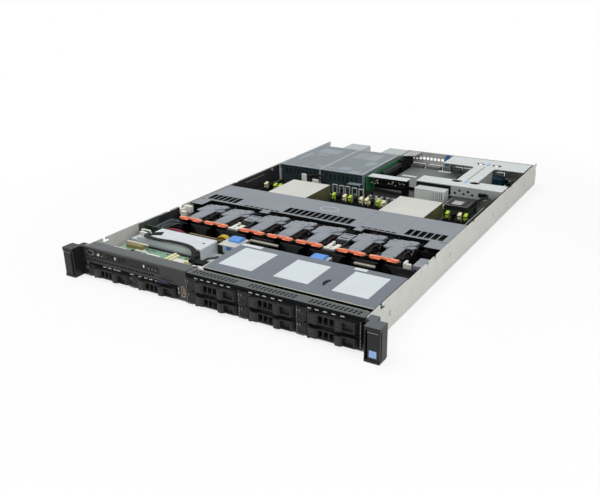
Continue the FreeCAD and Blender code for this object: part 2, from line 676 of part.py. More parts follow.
def backplanes():
    """Upright boards behind the drives, with a socket for each disk and cable headers behind."""
    pieces = []
    x0 = RIGHT_BAYS_X + 1.0
    x1 = RIGHT_BAYS_X + RIGHT_COLUMNS * COLUMN_PITCH - 1.0
    y0 = 113.5
    right = block(x0, x1, y0, y0 + BOARD, FLOOR_TOP, ROOF_Z)
    sockets = []
    headers = []
    for k in range(RIGHT_COLUMNS):
        x = bay_x(RIGHT_BAYS_X, k)
        for z in (FLOOR_TOP, UPPER_BAY_Z):
            sockets.append(block(x - 21, x + 21, y0 - 4.4, y0, z + 4.0, z + 9.5))
        headers.append(block(x - 14, x + 14, y0 + BOARD, y0 + BOARD + 7, 8.0, 17.0))
    vents = []
    for k in range(RIGHT_COLUMNS):
        x = bay_x(RIGHT_BAYS_X, k)
        for dx in (-34.0, 26.0):
            vents.append(block(x + dx, x + dx + 8, y0 - 1, y0 + 3, 12.0, 30.0))
    pieces.append(join([right.cut(vents)] + sockets + headers))
    left_y = 116.5
    x0 = LEFT_BAYS_X + 1.0
    x1 = LEFT_BAYS_X + LEFT_COLUMNS * COLUMN_PITCH - 16.0
    left = block(x0, x1, left_y, left_y + BOARD, FLOOR_TOP, 37.6)
    sockets = []
    for k in range(LEFT_COLUMNS):
        x = bay_x(LEFT_BAYS_X, k)
        sockets.append(block(x - 21, x + 21, left_y - 7.4, left_y, FLOOR_TOP + 4.0, FLOOR_TOP + 9.5))
    pieces.append(join([left] + sockets))
    return group(pieces)


def control_board():
    """Panel board on four posts above the left bays, with its connectors and display."""
    z0 = UPPER_BAY_Z + 4.0
    z1 = z0 + BOARD
    board = profile_z([(-206, 4.4), (-60, 4.4), (-60, 52), (-84, 70), (-206, 70)], z0, z1)
    posts = [around(x, 2.6, 6, UPPER_BAY_Z, z0, y) for x in (-198.0, -112.0) for y in (12.0, 62.0)]
    parts = []
    for x in (-173.8, -152.8):
        port = block(x, x + 13.6, PANEL + 0.3, 18.0, z1, PANEL_Z + 3.4)
        mouth = block(x + 0.8, x + 12.8, PANEL - 1, 15.0, PANEL_Z - 2.4, PANEL_Z + 2.4)
        parts.append(port.cut(mouth))
    parts.append(block(-136.0, -109.0, PANEL + 0.3, 8.0, z1, PANEL_Z + 4.6))
    parts.append(block(-103.8, -83.0, PANEL + 0.3, 7.0, z1, PANEL_Z + 2.6))
    for x0, x1, y0, y1, height in (
        (-196, -166, 58, 66, 5.0), (-128, -104, 34, 39, 4.0), (-92, -64, 30, 38, 5.0),
        (-160, -146, 30, 44, 2.0), (-78, -66, 46, 52, 6.0),
    ):
        parts.append(block(x0, x1, y0, y1, z1, z1 + height))
    return group([join([board] + posts)] + parts)


def media_tray():
    """Raised sheet tray behind the control board, folded down on its sides."""
    x0, x1 = -178.0, -74.0
    top = 38.2
    section = [
        (x0, UPPER_BAY_Z), (x0 + SHELF, UPPER_BAY_Z), (x0 + SHELF, top - SHELF),
        (x1 - SHELF, top - SHELF), (x1 - SHELF, UPPER_BAY_Z), (x1, UPPER_BAY_Z), (x1, top), (x0, top),
    ]
    tray = profile_y(section, 76.0, 115.0)
    tray = rounded(tray, 2.2, AXIS_Y, lambda p: p.z > top - 0.1)
    front = block(x0 + 1.5, x1 - 1.5, 76.0, 77.0, 25.0, top - 1.0)
    flange = block(x1 - 0.1, x1 + 18.0, 84.0, 111.0, UPPER_BAY_Z, UPPER_BAY_Z + SHELF)
    tray = join([tray, front, flange])
    cuts = [
        slot(-84.0, 97.0, 4.0, 5.0, top - 2, top + 1),
        block(x1 + 3.0, x1 + 12.0, 98.0, 104.0, UPPER_BAY_Z - 1, UPPER_BAY_Z + 2),
    ]
    return tray.cut(cuts)


def fan_wall():
    """Steel wall in front of the fans with a round mouth for each, and posts in the gaps."""
    y0, y1 = FAN_WALL_Y, FAN_WALL_Y + SHEET
    half = 206.0
    top = 34.5
    wall = block(-half, half, y0, y1, FLOOR_TOP, top)
    mouths = [profile_y(ring_corners(fan_x(k), FAN_AXIS_Z - 1.8, 16.0, FAN_SIDES), y0 - 1, y1 + 1) for k in range(7)]
    wall = wall.cut(mouths)
    feet = block(-half, half, y0 - 10, y0, FLOOR_TOP, FLOOR_TOP + SHEET)
    pieces = [wall, feet]
    gap_half = (FAN_GROUP_PITCH - FAN_PITCH - FAN_FLANGE) / 2 - 1.2
    for side in (-1, 1):
        middle = FAN_MIDDLE_X + side * (FAN_GROUP_PITCH + FAN_PITCH) / 2
        post = block(middle - gap_half, middle + gap_half, y1 - 0.2, 230.0, FLOOR_TOP, 37.0)
        hollow = block(middle - gap_half + 1.5, middle + gap_half - 1.5, y1 + 2, 228.0, FLOOR_TOP + 1.5, 35.5)
        mouth = block(middle - gap_half + 1.5, middle + gap_half - 1.5, y1 + 24, 200.0, 30.0, 38.0)
        pieces.append(post.cut([hollow, mouth]))
        end = side * half
        lo, hi = min(end, end + side * 7.0), max(end, end + side * 7.0)
        pieces.append(block(lo, hi, y1 - SHEET, 176.0, FLOOR_TOP, 30.0))
    return join(pieces)


def fan_grip(x):
    """Orange pull tab with the waved front edge."""
    z0, z1 = GRIP_BOTTOM, GRIP_TOP
    half = FAN_BODY / 2
    front = FAN_FRONT + 0.8
    outline = []
    for (share0, dip0), (share1, dip1) in zip(GRIP_WAVE, GRIP_WAVE[1:]):
        for step in range(GRIP_STEPS):
            part = step / GRIP_STEPS
            ease = (1 - math.cos(math.pi * part)) / 2
            share = share0 + (share1 - share0) * part
            outline.append((x - half + share * FAN_BODY, front + dip0 + (dip1 - dip0) * ease))
    outline.append((x + half, front + GRIP_WAVE[-1][1]))
    outline += [(x + half, front + 5.0), (x - half, front + 5.0)]
    return profile_z(outline, z0, z1)


def fan(index):
    """Fan module: square front frame, round tube with a flat spine, rear flanges, vanes and grip."""
    x = fan_x(index)
    half = FAN_BODY / 2
    z = FAN_AXIS_Z
    bottom = FLOOR_TOP + SEAT_GAP
    flange = FAN_FLANGE / 2
    frame = profile_y(clipped(x - half, x + half, bottom, GRIP_BOTTOM, 2.0), FAN_FRONT, FAN_FRONT + 7)
    tube = profile_y(ring_corners(x, z, FAN_TUBE, TUBE_SIDES), FAN_FRONT + 6, FAN_BACK - 2)
    bore_reach = FAN_BORE / math.cos(math.pi / FAN_SIDES)
    rear = profile_y(clipped(x - flange, x + flange, bottom, 39.0, 2.0), FAN_BACK - 24, FAN_BACK - 14)
    end = profile_y(clipped(x - half, x + half, bottom, 39.0, 2.0), FAN_BACK - 5, FAN_BACK)
    ridge = [(x - 9.5, z), (x + 9.5, z), (x + 9.5, 38.6), (x + 6.5, 40.6), (x - 6.5, 40.6), (x - 9.5, 38.6)]
    spine = profile_y(ridge, FAN_FRONT + 6, FAN_BACK - 2)
    shelf = block(x - flange, x - 4, FAN_BACK - 15, FAN_BACK - 4, 36.4, 38.6)
    body = join([frame, tube, rear, end, spine, shelf])
    body = body.cut([
        profile_y(ring_corners(x, z, bore_reach, FAN_SIDES), FAN_FRONT - 1, FAN_BACK + 1),
        block(x - half - 1, x + half + 1, FAN_FRONT + 5.8, FAN_FRONT + 7.2, GRIP_BOTTOM, 42),
    ])
    stator_y = FAN_FRONT + 40
    pieces = [body, profile_y(ring_corners(x, z, HUB_RADIUS, HUB_SIDES), stator_y, stator_y + 12)]
    for k in range(4):
        vane = block(-0.7, 0.7, 0, 10, HUB_RADIUS - 1, FAN_BORE + 0.6)
        vane.rotate(V(0, 0, 0), AXIS_Y, 90 * k + 45)
        vane.translate(V(x, stator_y + 1, z))
        pieces.append(vane)
    body = join(pieces)
    body = body.cut(rod(V(x, stator_y - 1, z), AXIS_Y, 9, SHAFT_RADIUS + PIN_CLEARANCE))
    return group([body, fan_grip(x)])


def rotor(index):
    """Fan rotor: hub with a coned nose, shaft and twisted blades."""
    depth = ROTOR_DEPTH
    nose = taper(0, 0, HUB_SIDES, 0, HUB_RADIUS - 2.5, 2.5, HUB_RADIUS)
    hub = profile_y(ring_corners(0, 0, HUB_RADIUS, HUB_SIDES), 2.5, depth)
    shaft = rod(V(0, depth - 1, 0), AXIS_Y, 8.5, SHAFT_RADIUS)
    pieces = [nose, hub, shaft]
    for k in range(BLADES):
        pieces.append(blade(360.0 / BLADES * k))
    wheel = join(pieces)
    wheel.translate(V(fan_x(index), FAN_FRONT + 10, FAN_AXIS_Z))
    return wheel


def blade(turn):
    """One twisted blade: a thin section at the root turned against the one at the tip."""
    rings = []
    for radius, pitch, chord in ((HUB_RADIUS - 1.2, 28.0, 16.0), (FAN_BORE - 1.6, 50.0, 14.0)):
        lean = math.radians(pitch)
        along = AXIS_Y * math.cos(lean) + AXIS_X * math.sin(lean)
        across = AXIS_X * math.cos(lean) - AXIS_Y * math.sin(lean)
        middle = V(0, ROTOR_DEPTH / 2, radius)
        rings.append([middle + along * (a * chord) + across * (b * 1.2)
                      for a, b in ((-0.5, -0.5), (0.5, -0.5), (0.5, 0.5), (-0.5, 0.5))])
    wing = closed_by_faces(rings[0], rings[1], True)
    wing.rotate(V(0, 0, 0), AXIS_Y, turn)
    return wing


def air_shroud():
    """Plastic duct from the fans to the heatsinks: a ribbed lid with skirts, flaps and slots."""
    half, top, wall = SHROUD_HALF, SHROUD_TOP, SHROUD_WALL
    bottom = BOARD_TOP + SEAT_GAP
    under = top - wall
    section = [
        (-half, bottom), (-half + wall, bottom), (-half + wall, under), (half - wall, under),
        (half - wall, bottom), (half, bottom), (half, top), (-half, top),
    ]
    body = profile_y(section, SHROUD_FRONT, SHROUD_BACK)
    body = rounded(body, 1.6, AXIS_Y, lambda p: p.z > top - 0.1)
    pieces = [body]
    between = FAN_BACK + 1.0
    flaps = ((-half, -191.0, 226.0), (-88.0, -73.4, between), (76.4, 88.6, between), (190.0, half, 226.0))
    for x0, x1, y0 in flaps:
        pieces.append(block(x0, x1, y0, SHROUD_FRONT + 1, under - 0.2, top - 0.4))
    for x in (-144.0, -66.0, 62.0, 143.0):
        pieces.append(block(x - 0.9, x + 0.9, SHROUD_FRONT + 2, 278.0, bottom, under + 0.1))
    rim = block(-half + 24, half - 24, SHROUD_FRONT - 0.6, SHROUD_FRONT + 1.4, 37.0, top)
    pieces.append(rim)
    body = join(pieces)
    cuts = []
    for start, count in ((-203.0, 6), (-55.0, 12), (148.6, 6)):
        for k in range(count):
            x = start + SLOT_PITCH * k
            cuts.append(block(x, x + SLOT_WIDTH, SLOT_FRONT, SLOT_BACK, under - 1, top + 1))
    return body.cut(cuts)


def mainboard():
    """Main circuit board with memory sockets and processor sockets."""
    outline = [
        (-BOARD_HALF, BOARD_FRONT), (BOARD_HALF, BOARD_FRONT), (BOARD_HALF, BOARD_BACK),
        (PSU_SIDE_X + 3, BOARD_BACK), (PSU_SIDE_X + 3, PSU_FRONT - 4), (-BOARD_HALF, PSU_FRONT - 4),
    ]
    pieces = [profile_z(outline, BOARD_BOTTOM, BOARD_TOP)]
    for x in socket_xs():
        pieces.append(memory_socket(x))
    for x in SINK_CENTRES:
        plate = rounded(block(x - 30, x + 30, 350, 421, BOARD_TOP, BOARD_TOP + 4.0), 3.0, AXIS_Z)
        pieces.append(plate)
    for x0, x1, y0, y1, height in (
        (PSU_SIDE_X + 4, PSU_SIDE_X + 23, PSU_FRONT - 26, PSU_FRONT - 4, 7.0),
        (23 - BOARD_HALF, 63 - BOARD_HALF, PSU_FRONT - 34, PSU_FRONT - 16, 9.0),
        (BOARD_HALF - 63, BOARD_HALF - 27, BOARD_FRONT + 10, BOARD_FRONT + 24, 8.0),
        (-30, 24, BOARD_FRONT + 8, BOARD_FRONT + 22, 10.0),
        (13 - BOARD_HALF, 45 - BOARD_HALF, BOARD_FRONT + 8, BOARD_FRONT + 20, 10.0),
    ):
        pieces.append(block(x0, x1, y0, y1, BOARD_TOP, BOARD_TOP + height))
    return join(pieces)


def socket_xs():
    return [start + pitch * k for start, count, pitch in SOCKET_GROUPS for k in range(count)]


def memory_socket(x):
    """One memory socket: a bar with a slot along it."""
    half = SOCKET_WIDTH / 2
    top = BOARD_TOP + SOCKET_HEIGHT
    groove = 1.4
    section = [
        (x - half, BOARD_TOP), (x + half, BOARD_TOP), (x + half, top), (x + groove, top),
        (x + groove, top - 4), (x - groove, top - 4), (x - groove, top), (x - half, top),
    ]
    return profile_y(section, SOCKET_FRONT, SOCKET_BACK)


def memory_latches():
    """A hooked lever at both ends of every memory socket."""
    levers = []
    z0 = BOARD_TOP
    for x in socket_xs():
        for end, way in ((SOCKET_FRONT, -1), (SOCKET_BACK, 1)):
            section = [
                (end, z0), (end + way * LATCH_DEPTH, z0), (end + way * (LATCH_DEPTH - 2), LATCH_TOP - 7),
                (end + way * LATCH_DEPTH, LATCH_TOP), (end - way * 2.0, LATCH_TOP - 2.6),
                (end + way * 1.6, LATCH_TOP - 6), (end, z0 + SOCKET_HEIGHT + 2),
            ]
            levers.append(profile_x(section, x - SOCKET_WIDTH / 2 + 0.3, x + SOCKET_WIDTH / 2 - 0.3))
    return group(levers)


def heatsink(x):
    """Heatsink: thick base, thin fins along the airflow and a closing top plate."""
    half = SINK_WIDTH / 2
    base_z = BOARD_TOP + 4.0
    pieces = [
        block(x - half, x + half, SINK_FRONT, SINK_BACK, base_z, base_z + 4.0),
        block(x - half, x + half, SINK_FRONT + 1, SINK_BACK, SINK_TOP - 0.8, SINK_TOP),
    ]
    spacing = (SINK_WIDTH - 0.8) / (SINK_FINS - 1)
    for k in range(SINK_FINS):
        fx = x - half + spacing * k
        pieces.append(block(fx, fx + 0.8, SINK_FRONT + 1, SINK_BACK, base_z + 4.0, SINK_TOP - 0.8))
    return join(pieces)


def heatsinks():
    return group([heatsink(x) for x in SINK_CENTRES])


def psu_cage():
    """Sheet cage over the power supplies: lid with raised rims, divider and side wall."""
    x0, x1 = -INNER + 0.2, PSU_SIDE_X
    under, top = PSU_CAGE_TOP - SHEET, PSU_CAGE_TOP
    lid = block(x0, x1, PSU_FRONT, PSU_CAGE_END, under, top)
    recesses = []
    for a, b in ((x0 + 4, PSU_DIVIDER_X - 4), (PSU_DIVIDER_X + 4, x1 - 4)):
        recesses.append(block(a, b, PSU_FRONT + 5, PSU_CAGE_END - 6, top - 0.4, top + 1))
    lid = lid.cut(recesses)
    half = SHEET / 2
    pieces = [
        lid,
        block(PSU_DIVIDER_X - half, PSU_DIVIDER_X + half, PSU_FRONT, PSU_CAGE_END, FLOOR_TOP, under),
        block(x1 - SHEET, x1, PSU_FRONT, PSU_CAGE_END - 7, FLOOR_TOP, under),
        block(x0, x0 + SHEET, PSU_FRONT, PSU_CAGE_END, 33.0, under),
    ]
    flap = block(x1 - 26, x1 - 1, PSU_FRONT - 12, PSU_FRONT, 24.0, 25.0)
    web = block(x1 - SHEET, x1, PSU_FRONT - 12, PSU_FRONT + 1, 10.0, 25.0)
    return join(pieces + [flap, web])


def psu_x(index):
    """The left face of a power supply."""
    if index == 0:
        return PSU_DIVIDER_X - SHEET / 2 - PSU_GAP - PSU_WIDTH
    return PSU_DIVIDER_X + SHEET / 2 + PSU_GAP


def psu(index):
    """Power supply: steel case, fan tail on the right, inlet and handle on the left."""
    x0 = psu_x(index)
    x1 = x0 + PSU_WIDTH
    z0 = FLOOR_TOP + SEAT_GAP
    z1 = z0 + PSU_HEIGHT
    case = rounded(block(x0, x1, PSU_START, PSU_BAY_END + 1, z0, z1), 1.2, AXIS_Y)
    tail = rounded(block(x1 - PSU_TAIL_WIDTH, x1, PSU_BAY_END - 1, PSU_TAIL_END, z0, z1), 1.2, AXIS_Y)
    inlet_z = z0 + 12
    inlet = block(x0 + 12, x0 + 36, PSU_BAY_END, PSU_BAY_END + 8, inlet_z - 8, inlet_z + 8)
    body = join([case, tail, inlet])
    cavity = rounded(block(x0 + 14.4, x0 + 33.6, PSU_BAY_END - 8, PSU_BAY_END + 9, inlet_z - 5.6, inlet_z + 5.6),
                     2.0, AXIS_Y)
    cuts = [cavity]
    fan_centre = x1 - PSU_TAIL_WIDTH / 2
    middle = (z0 + z1) / 2
    well = profile_y(ring_corners(fan_centre, middle, 16.5, 20), PSU_TAIL_END - 9, PSU_TAIL_END + 1)
    well = well.cut(profile_y(ring_corners(fan_centre, middle, 7.0, 20), PSU_TAIL_END - 10, PSU_TAIL_END + 2))
    for turn in (0, 90):
        bar = block(-18, 18, PSU_TAIL_END - 10, PSU_TAIL_END + 2, -1.0, 1.0)
        bar.rotate(V(0, 0, 0), AXIS_Y, turn + 45)
        bar.translate(V(fan_centre, 0, middle))
        well = well.cut(bar)
    cuts.append(well)
    for k in range(8):
        cuts.append(block(x0 + 8 + 9.0 * k, x0 + 13 + 9.0 * k, PSU_START - 1, PSU_START + 3, z0 + 20, z0 + 32))
    body = body.cut(cuts)
    edge_card = block(x0 + 20, x0 + 66, PSU_START - 8, PSU_START + 1, z0 + 8, z0 + 9.6)
    grip = psu_handle(x0, z0, z1)
    px, py, low, high = release_pin(index)
    lugs = [block(px - 2, px + 2, PSU_BAY_END, py + 2, z, z + 1.2) for z in (low - 1.5, high + 0.3)]
    pin = around(px, PIN_RADIUS, PIN_SIDES, low - 1.0, high + 1.0, py)
    return group([join([body, edge_card, pin] + lugs), grip])


def psu_handle(x0, z0, z1):
    """Black pull handle: an arch of round bar on the left of the rear face."""
    y0 = PSU_BAY_END + 1
    reach = 22.0
    bar = 2.4
    z_low, z_high = z0 + 24.0, z1 - 3.0
    x = x0 + 24.0
    outline = rounded(block(x - 14, x + 14, y0, y0 + reach, z_low, z_high), 8.0, AXIS_Z,
                      lambda p: p.y > y0 + 1)
    hole = rounded(block(x - 14 + bar, x + 14 - bar, y0 - 1, y0 + reach - bar, z_low - 1, z_high + 1), 5.6, AXIS_Z,
                   lambda p: p.y > y0)
    thin = block(x - 15, x + 15, y0 - 1, y0 + reach + 1, z_low + 5.0, z_high + 1)
    return outline.cut([hole, thin])


def release_pin(index):
    """Where the release lever of a power supply turns: x, y and the lowest and highest z of the lever."""
    z0 = FLOOR_TOP + SEAT_GAP + 7.0
    return psu_x(index) + 4.0, PSU_BAY_END + 4.4, z0, z0 + 14.0


def psu_release(index):
    """Ribbed release lever on a pin beside the handle."""
    x, y, z0, z1 = release_pin(index)
    lever = profile_z([
        (x - 1.4, y - 3.0), (x + 1.4, y - 3.0), (x + 2.4, y - 1.5), (x + 2.4, y + 5), (x + 5.4, y + 12),
        (x + 2.4, y + 13), (x - 2.4, y + 6), (x - 2.4, y - 1.5),
    ], z0, z1)
    ribs = [block(x - 0.4, x + 4.0, y + 6.5, y + 7.5, z0 + 2 + 4 * k, z0 + 4 + 4 * k) for k in range(3)]
    lever = join([lever] + ribs)
    return lever.cut(rod(V(x, y, z0 - 1), AXIS_Z, z1 - z0 + 2, PIN_RADIUS + PIN_CLEARANCE))


def riser_cage():
    """H-shaped steel cage over the card slots, with a punched front flange and legs."""
    under, top = RISER_TOP - SHEET, RISER_TOP
    f0, f1 = RISER_BAR_FRONT
    b0, b1 = RISER_BAR_BACK
    s0, s1 = RISER_SPINE
    outline = [
        (RISER_LEFT, f0), (RISER_RIGHT, f0), (RISER_RIGHT, f1),
        (s1 + 4, f1), (s1, f1 + 4), (s1, b0 - 4), (s1 + 4, b0),
        (RISER_RIGHT, b0), (RISER_RIGHT, b1), (RISER_LEFT, b1), (RISER_LEFT, b0), (s0 - 4, b0), (s0, b0 - 4),
        (s0, f1 + 4), (s0 - 4, f1), (RISER_LEFT, f1),
    ]
    lid = profile_z(outline, under, top)
    middle = (s0 + s1) / 2
    holes = [slot(middle - 0.8, (f1 + b0) / 2, 1.6, b0 - f1 - 14, under - 1, top + 1)]
    for y in ((f0 + f1) / 2 + 12, (b0 + b1) / 2 - 6):
        for x in (s0 + 3, s1 - 3):
            turns = [2 * math.pi * k / OVAL_SIDES for k in range(OVAL_SIDES)]
            oval = [(x + OVAL_LENGTH / 2 * math.cos(t), y + OVAL_WIDTH / 2 * math.sin(t)) for t in turns]
            holes.append(profile_z(oval, under - 1, top + 1))
    lid = lid.cut(holes)
    flange = block(s0 - 4, RISER_RIGHT, f0, f0 + SHEET, 22.0, under)
    punched = [block(s1 + 14.0, s1 + 28.0, f0 - 1, f0 + 3, 26.0, 34.5)]
    for k in range(6):
        punched.append(hexagon(s0 + 3.0 + 7.6 * k, 33.0 - 5.0 * (k % 2), 4.6, f0 - 1, f0 + SHEET + 1))
    flange = flange.cut(punched)
    legs = [
        block(RISER_RIGHT - SHEET, RISER_RIGHT, f0, f0 + 24, BOARD_TOP, under),
        block(RISER_RIGHT - SHEET, RISER_RIGHT, b0 + 24, b1, BOARD_TOP, under),
        block(RISER_LEFT, RISER_LEFT + SHEET, b1 - 22, b1, BOARD_TOP, under),
        block(s1 - 2, s1 - 2 + SHEET, f1 + 8, b0 - 8, BOARD_TOP, under),
    ]
    filler = [block(66.6, 155.4, b1 + 0.2, b1 + 1.2, 22.0, 39.2)]
    louvres = [block(71 + 10.2 * k, 77.8 + 10.2 * k, b1 - 1, b1 + 3, 26.0, 35.5) for k in range(8)]
    plate = filler[0].cut(louvres)
    return group([join([lid, flange] + legs), plate])


def riser_boards():
    """Upright riser boards with card slots, and the bracket beside the power supply cage."""
    x0 = PSU_SIDE_X + 4.0
    y0 = PSU_FRONT + 10.0
    left = block(x0, x0 + BOARD, y0 - 3, PSU_BAY_END + 5, BOARD_TOP, 38.0)
    left_slot = block(x0 + BOARD, x0 + BOARD + 8, y0 + 54, PSU_BAY_END - 24, 24.0, 32.0)
    plate = block(x0 + BOARD, 44.0, y0, y0 + 20, 37.2, 38.2)
    lip = block(x0 + BOARD + 12.0, 42.0, y0, y0 + SHEET, 24.0, 37.4)
    post = block(32.0, 44.0, y0 + 8, y0 + 14, BOARD_TOP, 37.4)
    panel_holes = [hexagon(-8.0 + 9.0 * k, 31.0, 5.2, y0 - 1, y0 + 3) for k in range(5)]
    bracket = join([plate, lip.cut(panel_holes), post])
    s0, s1 = RISER_SPINE
    middle = (s0 + s1) / 2
    r0, r1 = RISER_BAR_FRONT[1] + 8, RISER_BAR_BACK[0] - 8
    spare = (r1 - r0) * 0.13
    right = block(middle - BOARD, middle, r0, r1, BOARD_TOP, 39.4)
    right_slot = block(middle - BOARD - 8, middle - BOARD, r0 + spare, r1 - spare, 24.0, 32.0)
    return group([join([left, left_slot]), bracket, join([right, right_slot])])


def network_card():
    """Low card in the open bay, under a dark sheet with folded edges."""
    x0, x1, y0, y1 = -20.0, 112.0, 552.0, REAR_WALL_Y - 26.0
    under = 13.6
    section = [
        (x0, BOARD_TOP), (x0 + SHELF, BOARD_TOP), (x0 + SHELF, under), (x1 - SHELF, under), (x1 - SHELF, BOARD_TOP),
        (x1, BOARD_TOP), (x1, under + SHELF), (x0, under + SHELF),
    ]
    card = rounded(profile_y(section, y0, y1), 1.4, AXIS_Y, lambda p: p.z > under + SHELF - 0.1)
    return card.cut([block(88.0, 100.0, y1 - 80, y1 - 20, under - 1, under + 3)])


def controller_card():
    """Storage controller: board on posts with a black frame and a silver lid."""
    x0, x1, y0, y1 = BOARD_HALF - 79.0, BOARD_HALF - 35.0, 446.0, 500.0
    z0 = BOARD_TOP + 10.0
    board = block(x0, x1, y0, y1, z0, z0 + BOARD)
    posts = [block(x - 2, x + 2, y - 2, y + 2, BOARD_TOP, z0) for x in (x0 + 4, x1 - 4) for y in (y0 + 4, y1 - 4)]
    frame = rounded(block(x0 + 2, x1 - 2, y0 + 2, y1 - 2, z0 + BOARD, 27.0), 2.0, AXIS_Z)
    lid = block(x0 + 10, x1 - 10, y0 + 8, y1 - 16, 27.0, 28.4)
    return join([board, frame, lid] + posts)


def ribbed_cover():
    """Pale ribbed plastic box in front of the riser cage."""
    x0, x1, y0, y1 = 66.0, 121.0, 490.0, 511.0
    top = 34.0
    box = rounded(block(x0, x1, y0, y1, BOARD_TOP, top), 2.0, AXIS_Z)
    hollow = block(x0 + 1.6, x1 - 1.6, y0 + 1.6, y1 - 1.6, BOARD_TOP - 1, top - 1.6)
    ribs = []
    for k in range(6):
        x = x1 - 22.0 + 3.6 * k
        ribs.append(block(x, x + 1.4, y0 - 1.2, y0 + 0.5, 12.0, top - 1))
    return join([box.cut(hollow)] + ribs)


def rear_ports():
    """Metal connector shells on the rear edge of the board."""
    y1 = REAR_WALL_Y - SHEET - 0.2
    shells = []
    for index, (x0, x1, z0, z1) in enumerate(port_windows()):
        body = block(x0 + 0.6, x1 - 0.6, y1 - 16, y1, BOARD_TOP, z1 - 0.6)
        if index < 2:
            cone = profile_y([(x0 + 4, z0 + 2), (x1 - 4, z0 + 2), (x1 - 3, z1 - 3), (x0 + 3, z1 - 3)], y1 - 1, y1 + 4)
            cone = cone.cut(profile_y([(x0 + 5, z0 + 3), (x1 - 5, z0 + 3), (x1 - 4, z1 - 4), (x0 + 4, z1 - 4)],
                                      y1 - 2, y1 + 5))
            nuts = [rod(V(x, y1 - 1, (z0 + z1) / 2), AXIS_Y, 4, 1.6) for x in (x0 + 2.2, x1 - 2.2)]
            shells.append(join([body, cone] + nuts))
        elif index == 2:
            mouths = [block(x0 + 1.4, x1 - 1.4, y1 - 12, y1 + 1, z, z + 4.8) for z in (z0 + 0.7, z0 + 6.5)]
            shells.append(body.cut(mouths))
        else:
            mouth = join([
                block(x0 + 2.0, x1 - 2.0, y1 - 12, y1 + 1, z0 + 3.4, z1 - 2.0),
                block(x0 + 4.6, x1 - 4.6, y1 - 12, y1 + 1, z0 + 1.2, z0 + 4.0),
            ])
            shells.append(body.cut(mouth))
    return group(shells)


def rack_ear():
    """Right rack ear: flange plate, step against the wall and hollow block for the latch."""
    x1 = EAR_SPAN / 2
    flange = block(HALF, x1, -1.2, 2.0, 0.6, CHASSIS_HEIGHT - 0.4)
    step = rounded(block(HALF, HALF + 12.0, 1.0, 11.0, 0.6, CHASSIS_HEIGHT - 0.4), 2.0, AXIS_Z,
                   lambda p: p.y > 10 and p.x > HALF + 1)
    block_x0 = HALF + 5.0
    cap = rounded(block(block_x0, x1, -LATCH_REACH, -1.0, CHASSIS_HEIGHT - 4.6, CHASSIS_HEIGHT), 1.0, AXIS_Z,
                  lambda p: p.y < -10)
    sole = rounded(block(block_x0, x1, -LATCH_REACH, -1.0, 0.0, 3.4), 1.0, AXIS_Z, lambda p: p.y < -10)
    cheek = block(block_x0, block_x0 + 1.4, -LATCH_REACH + 1.2, -1.0, 3.0, CHASSIS_HEIGHT - 4.0)
    outer = block(x1 - 1.4, x1, -LATCH_REACH + 5.0, -1.0, 3.0, CHASSIS_HEIGHT - 4.0)
    pin_x, pin_y = ear_pin()
    pin = around(pin_x, PIN_RADIUS, PIN_SIDES, 3.0, CHASSIS_HEIGHT - 4.0, pin_y)
    ear = join([flange, step, cap, sole, cheek, outer, pin])
    gate = block(pin_x - 2.2, pin_x + 7.0, -3, 14, 11.0, 31.0)
    return ear.cut(gate.common(block(0, x1 + 1, -2, 14, 0, CHASSIS_HEIGHT)))


def ear_pin():
    """Where the latch turns in the ear."""
    return EAR_SPAN / 2 - 15.0, -11.0


def ear_latch():
    """Right slam latch: front plate, knuckle and the hook that reaches behind the rack post."""
    x1 = EAR_SPAN / 2
    pin_x, pin_y = ear_pin()
    z0, z1 = 3.8, CHASSIS_HEIGHT - 5.0
    plate = block(pin_x + 0.2, x1 - 0.4, -LATCH_REACH + 0.4, -LATCH_REACH + 3.4, z0, z1)
    plate = rounded(plate, 1.2, AXIS_Z, lambda p: p.y < -LATCH_REACH + 1 and p.x > pin_x)
    knuckle = around(pin_x, BARREL_RADIUS + 0.5, KNUCKLE_SIDES, z0, z1, pin_y)
    neck = block(pin_x - 0.8, pin_x + 2.2, -LATCH_REACH + 2.0, pin_y, z0, z1)
    hook = profile_z([
        (pin_x - 1.2, pin_y), (pin_x + 1.6, pin_y), (pin_x + 1.6, 13.0), (pin_x - 1.2, 13.0),
        (pin_x - 1.2, 9.0), (pin_x - 1.2, 2.0),
    ], 13.0, 29.0)
    tooth = profile_z([(pin_x + 1.0, 6.0), (pin_x + 4.6, 6.6), (pin_x + 1.0, 13.0)], 13.0, 29.0)
    latch = join([plate, knuckle, neck, hook, tooth])
    return latch.cut(rod(V(pin_x, pin_y, z0 - 1), AXIS_Z, z1 - z0 + 2, PIN_RADIUS + PIN_CLEARANCE))


def cable_run(points, radius):
    """A cable that starts along Y: straight runs joined by tangent arcs."""
    edges = []
    start = points[0]
    for k in range(1, len(points) - 1):
        before, corner, after = points[k - 1], points[k], points[k + 1]
        into = (corner - before)
        out = (after - corner)
        turn = into.getAngle(out)
        shorter = min(into.Length, out.Length)
        reach = 0.45 * shorter
        bend = reach / math.tan(turn / 2)
        a = corner - V(into).normalize() * reach
        b = corner + V(out).normalize() * reach
        bisector = (V(out).normalize() - V(into).normalize()).normalize()
        centre = corner + bisector * (bend / math.cos(turn / 2))
        middle = centre - bisector * bend
        edges.append(Part.LineSegment(start, a).toShape())
        edges.append(Part.Arc(a, middle, b).toShape())
        start = b
    edges.append(Part.LineSegment(start, points[-1]).toShape())
    path = Part.Wire(edges)
    first = points[0]
    ring = [V(first.x + a, first.y, first.z + b) for a, b in ring_corners(0, 0, radius, CABLE_SIDES)]
    return path.makePipeShell([Part.makePolygon(ring + [ring[0]])], True, False)


